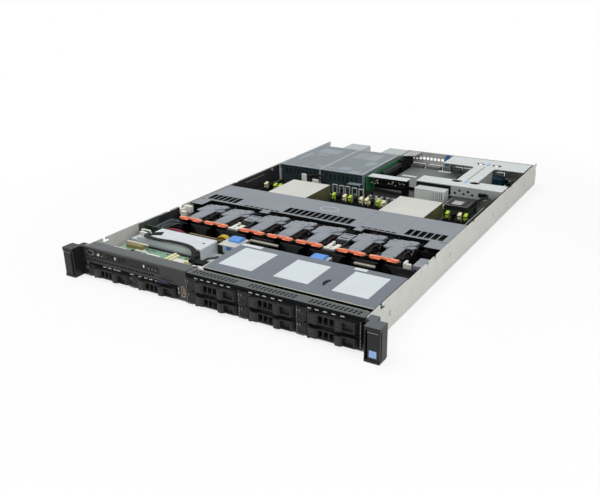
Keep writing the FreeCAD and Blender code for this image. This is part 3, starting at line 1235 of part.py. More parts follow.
def cables():
    """Power cables along the right wall, and the flat cable of the control board."""
    runs = []
    for x, z in ((INNER - 6.2, 20.0), (INNER - 6.2, 26.5)):
        runs.append(cable_run([
            V(x - 4.0, 437.6, z - 2.0), V(x - 4.0, 452.0, z - 2.0), V(x, 474.0, z), V(x - 1.0, 500.0, z + 1.0),
        ], 2.6))
    header = block(BOARD_HALF - 17.0, BOARD_HALF - 0.4, 431.0, 437.6, BOARD_TOP, 30.0)
    tape_z0, tape_z1 = 28.0, 36.5
    tape = [(-190.0, 76.0), (-78.0, 76.0), (-70.0, 71.4), (-66.0, 62.4), (-66.0, 54.0), (-67.2, 54.0),
            (-67.2, 62.0), (-70.8, 70.4), (-78.3, 74.8), (-190.0, 74.8)]
    ribbon = profile_z(tape, tape_z0, tape_z1)
    return group(runs + [header, ribbon])


def main():
    os.makedirs("parts", exist_ok=True)
    export("chassis_tray", chassis_tray())
    export("drive_cage", drive_cage())
    export("drive_covers", drive_covers())
    export("front_fascia", front_fascia())
    export("power_button", power_button())
    export("info_tag", info_tag())
    export("backplanes", backplanes())
    export("backplane_releases", release_tabs())
    export("control_board", control_board())
    export("media_tray", media_tray())
    export("fan_wall", fan_wall())
    export("air_shroud", air_shroud())
    export("mainboard", mainboard())
    export("memory_latches", memory_latches())
    export("heatsinks", heatsinks())
    export("psu_cage", psu_cage())
    export("riser_cage", riser_cage())
    export("riser_boards", riser_boards())
    export("network_card", network_card())
    export("controller_card", controller_card())
    export("ribbed_cover", ribbed_cover())
    export("rear_ports", rear_ports())
    export("cables", cables())
    ear = rack_ear()
    export("rack_ears", group([ear, mirrored(ear)]))
    latch = ear_latch()
    export("latch_right", latch)
    export("latch_left", mirrored(latch))
    for k in range(2):
        export("psu_%d" % (k + 1), psu(k))
        export("psu_release_%d" % (k + 1), psu_release(k))
    bays = [(LEFT_BAYS_X, k, FLOOR_TOP) for k in range(LEFT_COLUMNS)]
    bays += [(RIGHT_BAYS_X, k, z) for k in range(RIGHT_COLUMNS) for z in (UPPER_BAY_Z, FLOOR_TOP)]
    for number, (start, column, z) in enumerate(bays, 1):
        x = bay_x(start, column)
        export("drive_%d" % number, carrier(x, z))
        export("drive_handle_%d" % number, handle(x, z))
    for k in range(7):
        export("fan_%d" % (k + 1), fan(k))
        export("fan_rotor_%d" % (k + 1), rotor(k))


main()
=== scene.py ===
import math
import random
from collections import namedtuple

import bmesh
import bpy
from mathutils import Matrix, Vector


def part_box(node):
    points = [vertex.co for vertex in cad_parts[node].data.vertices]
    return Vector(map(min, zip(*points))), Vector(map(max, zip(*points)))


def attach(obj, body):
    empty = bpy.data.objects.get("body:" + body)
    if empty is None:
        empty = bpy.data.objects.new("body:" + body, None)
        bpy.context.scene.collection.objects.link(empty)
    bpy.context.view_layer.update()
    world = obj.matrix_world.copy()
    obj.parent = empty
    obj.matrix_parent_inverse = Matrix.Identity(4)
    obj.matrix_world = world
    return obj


# The looks of a one-unit rack server with its top cover off.
# Lengths in this file are millimetres. X and Z are the frame's own,
# and Y is counted from the front plane of the control panel.

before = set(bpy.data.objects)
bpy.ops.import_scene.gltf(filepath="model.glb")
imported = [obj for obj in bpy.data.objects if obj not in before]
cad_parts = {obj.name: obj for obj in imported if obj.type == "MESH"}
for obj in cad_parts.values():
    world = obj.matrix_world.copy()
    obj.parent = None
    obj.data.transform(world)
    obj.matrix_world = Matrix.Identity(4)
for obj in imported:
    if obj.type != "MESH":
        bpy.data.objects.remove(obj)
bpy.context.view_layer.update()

MM = 0.001
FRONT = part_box("front_fascia")[0].y
Extent = namedtuple("Extent", "x0 x1 y0 y1 z0 z1")


def at(x, y, z):
    """A point of the frame, in metres."""
    return Vector((x * MM, FRONT + y * MM, z * MM))


def extent(node):
    """The box of a CAD node in millimetres."""
    low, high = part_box(node)
    y0, y1 = (low.y - FRONT) / MM, (high.y - FRONT) / MM
    return Extent(low.x / MM, high.x / MM, y0, y1, low.z / MM, high.z / MM)


def circle(count):
    """Angles evenly spaced round a circle."""
    return [2 * math.pi * k / count for k in range(count)]


def add_object(name, data):
    obj = bpy.data.objects.new(name, data)
    bpy.context.scene.collection.objects.link(obj)
    return obj


def round_edges(obj, width, degrees, segments=2):
    """Rounds the edges that are sharper than an angle."""
    edge = obj.modifiers.new("edge", "BEVEL")
    edge.width = width * MM
    edge.segments = segments
    edge.limit_method = "ANGLE"
    edge.angle_limit = math.radians(degrees)


# Materials

def linear(red, green, blue):
    """A colour given as it looks on a screen, from 0 to 255."""
    return tuple(
        c / 255 / 12.92 if c < 11 else ((c / 255 + 0.055) / 1.055) ** 2.4
        for c in (red, green, blue)) + (1.0,)


def shade(color, factor):
    """A colour made darker or lighter."""
    return tuple(min(1.0, c * factor) for c in color[:3]) + (1.0,)


def add_node(nodes, kind, inputs=(), **settings):
    """A shader node with its settings and the values of its inputs."""
    node = nodes.new("ShaderNode" + kind)
    for key, value in settings.items():
        setattr(node, key, value)
    for socket, value in dict(inputs).items():
        node.inputs[socket].default_value = value
    return node


class Finish:
    """A procedural material: mottled colour, uneven roughness and a fine bump."""

    def __init__(self, name, color, roughness=0.5, metallic=0.0, gloss=0.3):
        self.material = bpy.data.materials.new(name)
        self.material.use_nodes = True
        self.nodes = self.material.node_tree.nodes
        self.link = self.material.node_tree.links.new
        self.shader = self.nodes["Principled BSDF"].inputs
        self.shader["Base Color"].default_value = color
        self.shader["Roughness"].default_value = roughness
        self.shader["Metallic"].default_value = metallic
        if metallic < 0.2:
            self.shader["Specular IOR Level"].default_value = gloss
        self.color = color
        self.roughness = roughness
        self.place = add_node(self.nodes, "TexCoord").outputs["Object"]

    def noise(self, scale, detail=2.0, stretch=(1, 1, 1)):
        mapping = add_node(self.nodes, "Mapping", {"Scale": stretch})
        self.link(self.place, mapping.inputs["Vector"])
        noise = add_node(self.nodes, "TexNoise", {"Scale": scale, "Detail": detail})
        self.link(mapping.outputs["Vector"], noise.inputs["Vector"])
        return noise.outputs["Fac"]

    def ramp(self, value, stops):
        ramp = add_node(self.nodes, "ValToRGB")
        for element, (position, color) in zip(ramp.color_ramp.elements, stops):
            element.position = position
            element.color = color
        self.link(value, ramp.inputs["Fac"])
        return ramp.outputs["Color"]

    def spread(self, value, share, low, high):
        """The colour between a darker and a lighter shade, by a value."""
        color = self.ramp(value, [(low, shade(self.color, 1 - share)), (high, shade(self.color, 1 + share))])
        self.link(color, self.shader["Base Color"])
        return self

    def mottle(self, scale=60, share=0.12, stretch=(1, 1, 1)):
        """Colour that varies a little from place to place."""
        return self.spread(self.noise(scale, 3.0, stretch), share, 0.3, 0.7)

    def uneven(self, scale=40, share=0.15):
        """Roughness that varies."""
        low, high = self.roughness * (1 - share), min(1.0, self.roughness * (1 + share))
        reach = add_node(self.nodes, "MapRange", {"To Min": low, "To Max": high})
        self.link(self.noise(scale), reach.inputs["Value"])
        self.link(reach.outputs["Result"], self.shader["Roughness"])
        return self

    def bump(self, scale=900, strength=0.15, depth=0.0002):
        """Fine surface texture."""
        bump = add_node(self.nodes, "Bump", {"Strength": strength, "Distance": depth})
        self.link(self.noise(scale), bump.inputs["Height"])
        self.link(bump.outputs["Normal"], self.shader["Normal"])
        return self

    def spangle(self, scale=140, share=0.10):
        """The crystal pattern of zinc coating."""
        cells = add_node(self.nodes, "TexVoronoi", {"Scale": scale})
        self.link(self.place, cells.inputs["Vector"])
        split = add_node(self.nodes, "SeparateColor")
        self.link(cells.outputs["Color"], split.inputs["Color"])
        return self.spread(split.outputs["Red"], share, 0.0, 1.0)


def board_finish(name, mask, trace, scale):
    """Circuit board: solder mask with traces, pads and vias."""
    finish = Finish(name, mask, 0.42)
    cells = add_node(finish.nodes, "TexVoronoi", {"Scale": scale}, distance="CHEBYCHEV")
    finish.link(finish.place, cells.inputs["Vector"])
    pads = finish.ramp(cells.outputs["Distance"], [(0.05, linear(205, 200, 176)), (0.13, mask)])
    lines = add_node(finish.nodes, "TexBrick", {
        "Scale": scale * 0.5, "Mortar Size": 0.03,
        "Color1": (0, 0, 0, 1), "Color2": (0.25, 0.25, 0.25, 1), "Mortar": (1, 1, 1, 1),
    })
    finish.link(finish.place, lines.inputs["Vector"])
    mix = add_node(finish.nodes, "Mix", {"B": trace}, data_type="RGBA")
    finish.link(lines.outputs["Color"], mix.inputs["Factor"])
    finish.link(pads, mix.inputs["A"])
    finish.link(mix.outputs["Result"], finish.shader["Base Color"])
    return finish.bump(600, 0.2, 0.0001)


def build_materials():
    made = {}

    def add(name, color, roughness, metallic=0.0, gloss=0.3):
        made[name] = Finish(name, linear(*color), roughness, metallic, gloss)
        return made[name]

    add("galvanised", (196, 197, 193), 0.42, 0.4).spangle(150, 0.05).uneven(30, 0.2).bump(500, 0.05)
    add("wall_steel", (204, 204, 199), 0.6).spangle(120, 0.04).uneven(14, 0.25).bump(400, 0.05)
    add("tray_steel", (205, 211, 216), 0.45, 0.2).spangle(150, 0.04).uneven(30, 0.2)
    add("riser_steel", (205, 211, 211), 0.42, 0.2).spangle(170, 0.04).uneven(30, 0.2)
    add("dark_steel", (44, 46, 49), 0.5, 0.3).mottle(30, 0.2).uneven()
    add("card_sheet", (110, 115, 113), 0.5, 0.1).mottle(22, 0.12).uneven().bump(700, 0.06)
    add("cover_paint", (104, 112, 120), 0.46).mottle(16, 0.05).uneven(50, 0.2).bump(1400, 0.12)
    add("strip_paint", (80, 85, 87), 0.46).mottle(16, 0.06).uneven(50, 0.2).bump(1400, 0.12)
    add("label", (210, 218, 221), 0.6).mottle(40, 0.02).bump(800, 0.05)
    add("shroud_plastic", (134, 140, 147), 0.55).mottle(20, 0.05).uneven().bump(1200, 0.16)
    add("fan_plastic", (136, 142, 149), 0.5).mottle(24, 0.08).uneven().bump(1200, 0.16)
    add("rotor_plastic", (26, 27, 29), 0.4).mottle(40, 0.2)
    add("black_plastic", (31, 31, 30), 0.48).mottle(40, 0.12).uneven().bump(1500, 0.18)
    add("fascia_plastic", (56, 57, 55), 0.5).mottle(30, 0.08).uneven().bump(1500, 0.16)
    add("ear_plastic", (25, 26, 24), 0.42).mottle(30, 0.08).uneven().bump(1600, 0.14)
    # Lighter grey for the right ear's top faces: a painted highlight where light falls on that top.
    add("ear_top_highlight", (80, 86, 92), 0.42).mottle(30, 0.06).uneven().bump(1600, 0.12)
    # Pale cream; on the drive cover's front edge and the strip's rear edge it is a painted highlight.
    add("edge_light", (168, 165, 152), 0.45, 0.3).mottle(60, 0.08)
    # Near black; besides real black parts it is laid as painted shade in gaps, slots and under edges.
    add("deep_black", (10, 10, 11), 0.7, 0.0, 0.12).mottle(40, 0.2)
    add("display", (16, 18, 22), 0.12).uneven(20, 0.3)
    add("blue_plastic", (88, 146, 220), 0.42).mottle(50, 0.06).bump(1200, 0.1)
    add("tag_blue", (32, 48, 98), 0.45).mottle(50, 0.08).bump(1200, 0.1)
    add("orange_plastic", (252, 152, 116), 0.42).mottle(60, 0.06).bump(1200, 0.1)
    add("green_plastic", (176, 206, 62), 0.4).mottle(60, 0.08)
    add("cream_plastic", (233, 226, 184), 0.45).mottle(60, 0.06)
    add("white_plastic", (226, 226, 216), 0.45).mottle(60, 0.05)
    add("pale_plastic", (208, 212, 211), 0.4).mottle(30, 0.06).bump(700, 0.1)
    add("sink_plate", (204, 204, 197), 0.38, 0.15).mottle(20, 0.05).uneven(30, 0.25)
    add("sink_fins", (116, 113, 84), 0.4, 0.5).mottle(200, 0.25, (0.2, 1, 6))
    add("psu_lid", (134, 144, 151), 0.4, 0.15).mottle(24, 0.08).uneven(20, 0.3)
    add("psu_label", (120, 130, 137), 0.5).mottle(60, 0.07)
    # Dark teal for the fronts inside the power supply cage: painted shade.
    add("psu_front", (42, 58, 60), 0.5).mottle(30, 0.2)
    add("psu_case", (172, 178, 180), 0.42, 0.5).spangle(150, 0.05).uneven()
    add("connector_steel", (190, 190, 188), 0.35, 0.8).uneven().mottle(60, 0.06)
    add("gold", (196, 170, 104), 0.4, 0.6).mottle(80, 0.1)
    add("drive_metal", (150, 152, 154), 0.4, 0.7).mottle(20, 0.1).uneven()
    add("cable_black", (22, 22, 24), 0.6, 0.0, 0.15).mottle(60, 0.2).bump(900, 0.15)
    add("cable_red", (142, 22, 52), 0.45).mottle(60, 0.15)
    add("cable_yellow", (190, 156, 44), 0.45).mottle(60, 0.15)
    add("solder", (200, 202, 204), 0.3, 0.9).mottle(100, 0.1)
    add("teal_metal", (12, 70, 84), 0.4, 0.2).mottle(60, 0.15)
    add("touch_blue", (150, 180, 226), 0.5).mottle(50, 0.05)
    add("lead_brown", (48, 26, 24), 0.5).mottle(60, 0.2)
    add("spring_steel", (226, 226, 222), 0.4, 0.2).mottle(60, 0.05)
    add("groove_olive", (146, 146, 126), 0.5).mottle(60, 0.1)
    # Light grey; on the riser cage's upright faces it is painted shade, and on the shroud's front edge a
    # painted highlight.
    add("plate_grey", (168, 172, 170), 0.45).mottle(40, 0.05)
    add("contact_olive", (158, 136, 82), 0.4, 0.2).mottle(80, 0.12)
    add("port_grey", (128, 130, 128), 0.45, 0.2).mottle(40, 0.1)
    add("lever_blue", (52, 104, 160), 0.45).mottle(50, 0.06)
    made["board_green"] = board_finish("board_green", linear(104, 150, 124), linear(168, 198, 178), 260)
    made["board_dark"] = board_finish("board_dark", linear(26, 44, 34), linear(58, 76, 58), 230)
    made["board_riser"] = board_finish("board_riser", linear(18, 78, 44), linear(50, 120, 76), 240)
    return made


FINISH = build_materials()


# Carried-over CAD nodes

def set_finishes(mesh, names):
    mesh.materials.clear()
    for name in names:
        mesh.materials.append(FINISH[name].material)


def middle_of(face):
    """The middle of a face, in this file's millimetres."""
    return face.center.x / MM, (face.center.y - FRONT) / MM, face.center.z / MM


def dress(node, base, *rules, bevel=0.0):
    """Gives a CAD node its materials. A rule is (material, test of a face's middle and normal)."""
    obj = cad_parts[node]
    set_finishes(obj.data, [base] + [name for name, _ in rules])
    for face in obj.data.polygons:
        x, y, z = middle_of(face)
        fitting = (index for index, (_, test) in enumerate(rules, 1) if test(x, y, z, face.normal))
        face.material_index = next(fitting, 0)
    if bevel:
        weld = obj.modifiers.new("weld", "WELD")
        weld.merge_threshold = 0.00001
        round_edges(obj, bevel, 40)


# Mesh helpers

class Maker:
    """Collects simple closed forms into one piece. Lengths given to it are millimetres."""

    def __init__(self):
        self.mesh = bmesh.new()

    def loop(self, points):
        return [self.mesh.verts.new(point) for point in points]

    def wall(self, first, second):
        """Faces between two closed loops."""
        for k, vert in enumerate(first):
            after = (k + 1) % len(first)
            self.mesh.faces.new((vert, first[after], second[after], second[k]))

    def skin(self, *loops):
        """Faces over a row of loops, closed at both ends."""
        for first, second in zip(loops, loops[1:]):
            self.wall(first, second)
        self.mesh.faces.new(loops[0][::-1])
        self.mesh.faces.new(loops[-1])
        return self

    def profile_x(self, outline, x0, x1):
        return self.skin(*[self.loop(at(x, y, z) for y, z in outline) for x in (x0, x1)])

    def profile_y(self, outline, y0, y1):
        return self.skin(*[self.loop(at(x, y, z) for x, z in outline) for y in (y0, y1)])

    def profile_z(self, outline, z0, z1):
        return self.skin(*[self.loop(at(x, y, z) for x, y in outline) for z in (z0, z1)])

    def blocks(self, *boxes):
        """Plain boxes, each given as x0, x1, y0, y1, z0, z1."""
        for x0, x1, y0, y1, z0, z1 in boxes:
            self.profile_z(((x0, y0), (x1, y0), (x1, y1), (x0, y1)), z0, z1)
        return self

    def round_loop(self, point, side, other, radius, sides, flat=1.0):
        return self.loop(
            point + (side * math.cos(t) + other * math.sin(t) * flat) * radius * MM for t in circle(sides))

    def rods(self, *bars):
        """Round bars, each given as start, end, radius, sides and the radius at its end."""
        for start, end, radius, sides, tip in bars:
            a, b = at(*start), at(*end)
            axis = (b - a).normalized()
            side = axis.orthogonal().normalized()
            other = axis.cross(side)
            self.skin(
                self.round_loop(a, side, other, radius, sides), self.round_loop(b, side, other, tip, sides))
        return self

    def tube(self, points, radius, sides=8, steps=8, flat=1.0):
        """A bent round cable through points, with flat below 1 for a ribbon."""
        path = smooth_path([at(*p) for p in points], steps)
        loops = []
        for k, point in enumerate(path):
            ahead = (path[min(k + 1, len(path) - 1)] - path[max(k - 1, 0)]).normalized()
            side = ahead.cross(Vector((0, 0, 1)))
            if side.length < 0.05:
                side = ahead.cross(Vector((1, 0, 0)))
            side.normalize()
            loops.append(self.round_loop(point, side, side.cross(ahead), radius, sides, flat))
        return self.skin(*loops)

    def hoop(self, x, z, radii, width, y0, y1):
        """A flat oval ring that faces the front."""
        sides = 40
        wide, high = radii
        inner, outer = [
            [(x + (wide + grow) * math.cos(t), z + (high + grow) * math.sin(t)) for t in circle(sides)]
            for grow in (0, width)
        ]
        for k in range(sides):
            after = (k + 1) % sides
            self.profile_y([inner[k], inner[after], outer[after], outer[k]], y0, y1)
        return self

    def flat_ring(self, x, y, z, radii, width, height):
        """A raised oval ring that lies flat."""
        loops = [
            self.loop(
                at(x + (radii[0] + grow * width) * math.cos(t), y + (radii[1] + grow * width) * math.sin(t),
                   z + level * height)
                for t in circle(56))
            for grow, level in ((0, 0), (0, 1), (1, 1), (1, 0))
        ]
        for first, second in zip(loops, loops[1:] + loops[:1]):
            self.wall(first, second)
        return self

    def piece(self, name, finish, slot, body="root", bevel=0.0, segments=2, smooth=False):
        """Turns what was collected into one object that rides on a body."""
        bmesh.ops.recalc_face_normals(self.mesh, faces=self.mesh.faces)
        data = bpy.data.meshes.new(name)
        self.mesh.to_mesh(data)
        self.mesh.free()
        obj = add_object(name, data)
        data.materials.append(FINISH[finish].material)
        if smooth:
            for face in data.polygons:
                face.use_smooth = True
            sharpen(data, 35)
        if bevel:
            round_edges(obj, bevel, 35, segments)
        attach(obj, body)


def sharpen(data, degrees):
    """Keeps edges sharper than an angle crisp in a smooth mesh."""
    mesh = bmesh.new()
    mesh.from_mesh(data)
    limit = math.radians(degrees)
    for edge in mesh.edges:
        if len(edge.link_faces) == 2:
            edge.smooth = edge.calc_face_angle(0) < limit
    mesh.to_mesh(data)
    mesh.free()


def smooth_path(points, steps):
    """A curve through points, with a few steps between each two."""
    ends = [points[0]] + points + [points[-1]]
    path = []
    for a, b, c, d in zip(ends, ends[1:], ends[2:], ends[3:]):
        for step in range(steps):
            t = step / steps
            path.append(
                0.5 * ((2 * b) + (c - a) * t + (2 * a - 5 * b + 4 * c - d) * t * t
                       + (3 * b - a - 3 * c + d) * t ** 3))
    path.append(points[-1])
    return path


def blocks(name, finish, slot, *boxes, body="root", **look):
    """One piece of plain boxes, each given as x0, x1, y0, y1, z0, z1."""
    Maker().blocks(*boxes).piece(name, finish, slot, body, **look)


def bar(x, y, z, along, reach, radius, sides, tip=None):
    """A rod from a point, of a given reach along one axis: x, y or z."""
    end = {"x": (x + reach, y, z), "y": (x, y + reach, z), "z": (x, y, z + reach)}[along]
    return (x, y, z), end, radius, sides, radius if tip is None else tip


def moved(place, *boxes):
    """Boxes shifted by a place."""
    x, y, z = place
    return [(a + x, b + x, c + y, d + y, e + z, f + z) for a, b, c, d, e, f in boxes]


# Materials of the CAD nodes

def dress_front():
    drive_top = extent("drive_covers").z1
    dress("drive_cage", "galvanised", ("black_plastic", lambda x, y, z, n: y < 12 and z < 36))
    dress(
        "drive_covers", "strip_paint",
        ("label", lambda x, y, z, n: 30 < y < 110 and drive_top - 0.4 < z < drive_top - 0.1 and n.z > 0.9),
        # The pale faces on the cover's front top edge are a painted highlight; the black front and lower
        # faces below are painted shade under the cover's edge.
        ("edge_light", lambda x, y, z, n: 21.5 < y < 24 and x > -34 and z > 42.1 and n.y < -0.3),
        ("deep_black", lambda x, y, z, n: 21.5 < y < 24.1 and x > -34 and n.y < -0.9),
        ("cover_paint", lambda x, y, z, n: y > 21.5 and x > -34 and z > 39),
        ("deep_black", lambda x, y, z, n: x > -34 and z < 41.7),
        bevel=0.25,
    )
    dress(
        "front_fascia", "fascia_plastic",
        ("black_plastic", lambda x, y, z, n: 0.5 < y < 0.8 and n.y < -0.9 and z > 29.6),
        ("connector_steel", lambda x, y, z, n: -45.2 < x < -38 and 5.6 < z < 21 and y > 0.2),
        bevel=0.2,
    )
    dress("power_button", "fascia_plastic", bevel=0.15)
    dress("info_tag", "black_plastic", ("galvanised", lambda x, y, z, n: y > 3), bevel=0.2)
    dress("backplanes", "board_dark", ("black_plastic", lambda x, y, z, n: y < 113.2 or y > 118.3))
    dress("backplane_releases", "blue_plastic", bevel=0.4)
    face = extent("control_board").z0 + 5.7
    dress(
        "control_board", "board_green",
        ("connector_steel", lambda x, y, z, n: z > face and y < 18.2 and x < -138),
        ("display", lambda x, y, z, n: z > face and y < 9 and x < -108),
        ("black_plastic", lambda x, y, z, n: z > face and y < 9),
        ("cream_plastic", lambda x, y, z, n: z > face and x > -130),
        ("board_green", lambda x, y, z, n: z > face and x < -160 and y > 50 and n.z > 0.5),
        ("contact_olive", lambda x, y, z, n: z > face and x < -160 and y > 50),
        ("black_plastic", lambda x, y, z, n: z > face),
        ("connector_steel", lambda x, y, z, n: z < face - 2),
    )
    dress("media_tray", "tray_steel", bevel=0.2)
    dress("cables", "cable_black", ("label", lambda x, y, z, n: x < -80 and y > 72))
    # Only the right ear's top faces get the lighter grey: a painted highlight where light falls on that top.
    right_top_highlight = ("ear_top_highlight", lambda x, y, z, n: x > 0 and z > 38 and n.z > 0.7)
    for node in ("rack_ears", "latch_left", "latch_right"):
        dress(node, "ear_plastic", right_top_highlight, bevel=0.35)
    for k in range(1, 9):
        box = extent("drive_%d" % k)
        metal = ("drive_metal", lambda x, y, z, n: y > 7.2 and box.x0 + 3.3 < x < box.x1 - 3.3)
        dress("drive_%d" % k, "black_plastic", metal, bevel=0.2)
        dress("drive_handle_%d" % k, "black_plastic", bevel=0.3)


def dress_middle():
    half = extent("chassis_tray").x1
    dress("chassis_tray", "galvanised", ("wall_steel", lambda x, y, z, n: abs(x) > half - 4 and z > 1))
    dress("fan_wall", "dark_steel")
    dress(
        "air_shroud", "shroud_plastic",
        # Black on the shroud's front wall, its inner faces and the insides of its slots is painted shade.
        ("deep_black", lambda x, y, z, n: y < 254 and n.y < -0.9),
        ("deep_black", lambda x, y, z, n: z < 41 and (n.z < -0.5 or n.x * x < -100)),
        ("deep_black", lambda x, y, z, n: 258.5 < y < 280.5 and n.z < 0.5 and z < 41.1),
        bevel=0.3,
    )
    for k in range(1, 8):
        front = extent("fan_%d" % k).y0
        dress(
            "fan_%d" % k, "fan_plastic",
            ("orange_plastic", lambda x, y, z, n: y < front + 7 and z > 38.1),
            # Black on each fan's lower part, front and sides is painted shade between the modules.
            ("deep_black", lambda x, y, z, n: z < 33 or y < front + 7.5 or (z < 38 and abs(n.x) > 0.3)),
            bevel=0.3,
        )
        dress("fan_rotor_%d" % k, "rotor_plastic")
    board_level = extent("mainboard").z0 + 1.7
    dress("mainboard", "board_dark", ("deep_black", lambda x, y, z, n: z > board_level))
    sink_top = extent("heatsinks").z1
    dress("heatsinks", "sink_fins", ("sink_plate", lambda x, y, z, n: z > sink_top - 1), bevel=0.15)


def dress_rear():
    cage = extent("psu_cage")
    dress(
        "psu_cage", "psu_lid",
        ("psu_label", lambda x, y, z, n: cage.z1 - 0.5 < z < cage.z1 - 0.1 and n.z > 0.9),
        # Dark teal on the fronts inside the cage is painted shade.
        ("psu_front", lambda x, y, z, n: z < cage.z1 - 1.3 and y < cage.y0 + 16 and n.y > -0.9 and n.z < 0.9),
        bevel=0.2,
    )
    for k in (1, 2):
        box = extent("psu_%d" % k)
        dress(
            "psu_%d" % k, "psu_case",
            # Dark teal on the power supply's front end is painted shade inside the cage.
            ("psu_front", lambda x, y, z, n: y < box.y0 + 12),
            ("black_plastic", lambda x, y, z, n: y > 665.1 and x < box.x0 + 40),
            bevel=0.2,
        )
        dress("psu_release_%d" % k, "orange_plastic", bevel=0.2)
    # The cage's upright faces get a darker grey than its top: painted shade.
    dress("riser_cage", "riser_steel", ("plate_grey", lambda x, y, z, n: abs(n.z) < 0.5), bevel=0.2)
    dress(
        "riser_boards", "riser_steel",
        ("board_riser", lambda x, y, z, n: x < -31.3 or 138 < x < 140.5),
        ("black_plastic", lambda x, y, z, n: y > 555),
        ("deep_black", lambda x, y, z, n: x < 60 and z < 37),
    )
    dress("network_card", "card_sheet", bevel=0.3)
    lid = extent("controller_card").z1
    dress("controller_card", "black_plastic", ("board_dark", lambda x, y, z, n: z < lid - 8), bevel=0.25)
    dress("ribbed_cover", "pale_plastic", bevel=0.4)
    port_back = extent("rear_ports").y1 - 5.5
    dress("rear_ports", "port_grey", ("deep_black", lambda x, y, z, n: y < port_back and n.y > 0.9))


LATCH_FINISHES = ("green_plastic", "deep_black", "cream_plastic")
GREEN, BLACK, CREAM = range(3)
# The colours of the latches from the left: six sockets, twelve and six
LATCH_ORDER = (
    CREAM, BLACK, GREEN, GREEN, BLACK, CREAM,
    GREEN, BLACK, CREAM, GREEN, BLACK, CREAM, CREAM, BLACK, GREEN, CREAM, BLACK, GREEN,
    GREEN, BLACK, CREAM, GREEN, BLACK, CREAM,
)
# The latches in front of this line lie in the shade under the shroud
SHROUD_BACK = 320
# From the left side of a latch to its middle, and the least step from one latch to the next
LATCH_HALF = 2.6
LATCH_STEP = 6.5


def dress_latches():
    """Memory latches: green, black and cream in turn."""
    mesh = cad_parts["memory_latches"].data
    set_finishes(mesh, LATCH_FINISHES)
    starts = sorted({round(face.center.x / MM) for face in mesh.polygons if abs(face.normal.x) > 0.9})
    sockets = []
    for x in starts:
        if not sockets or x - sockets[-1] > LATCH_STEP:
            sockets.append(x)
    for face in mesh.polygons:
        x, y, _ = middle_of(face)
        nearest = min(range(len(sockets)), key=lambda k: abs(sockets[k] + LATCH_HALF - x))
        face.material_index = BLACK if y < SHROUD_BACK else LATCH_ORDER[nearest % len(LATCH_ORDER)]


dress_front()
dress_middle()
dress_rear()
dress_latches()


# Front: control panel, carriers and ears

# The middle height of the panel's row of ports
BAND = 35.2


def panel_details():
    """Port marks, bare badge rim, buttons, lamp, display glass and ports' tongues on the control panel."""
    Maker().blocks(
        *[(x - 1.1, x + 1.1, 0.3, 0.72, BAND - 1.8, BAND + 1.8) for x in (-158.8, -107)],
        *[(x - 0.5, x + 0.5, 0.4, 0.72, BAND - 2.4, BAND - 1.6)
          for x in (-193.6, -184.4, -98.6, -92.4, -86.6)],
        (-49.6, -48.8, -0.05, 0.1, 9, 13),
        (-49.6, -48.8, -0.05, 0.1, 14.5, 18),
    ).piece("panel_marks", "white_plastic", "pale_plastic")
    badge = Maker().hoop(-206, BAND, (6.6, 3.2), 0.7, 0.35, 0.72)
    badge.piece("panel_badge_rim", "connector_steel", "connector_metal")
    Maker().rods(
        *[bar(x, 1.7, BAND, "y", -1.8, 1.5, 16) for x in (-101, -96.4, -91.4, -86.6)],
        bar(-180.5, 3, BAND, "y", -2.7, 1.6, 16),
    ).piece("panel_buttons", "fascia_plastic", "black_plastic", bevel=0.15)
    tag = extent("info_tag")
    blocks("tag_field", "tag_blue", "blue_plastic",
           (tag.x0 + 6, tag.x1 - 8, tag.y0 - 0.02, tag.y0 + 0.6, tag.z0 + 0.4, tag.z1 - 0.4),
           (tag.x0 + 6, tag.x1 - 8, tag.y0 + 0.3, tag.y0 + 1.9, tag.z1 - 0.5, tag.z1 + 0.05), body="info_tag")
    blocks("panel_display", "display", "black_plastic",
           (-133.8, -111.2, 0.55, 1.5, BAND - 3.2, BAND + 3.2), bevel=0.2)
    blocks("usb_tongues", "lead_brown", "pale_plastic",
           *[(x - 5.6, x + 5.6, 1, 14, BAND + 0.1, BAND + 1.6) for x in (-167, -146)])
    blocks("video_contacts", "contact_olive", "connector_metal", (-43, -41.4, 1.6, 9.9, 8.2, 18.4))
    lamp = Maker().rods(bar(-189, -0.6, BAND, "y", -0.15, 1.7, 20))
    lamp.piece("power_lamp", "white_plastic", "pale_plastic", "power_button")


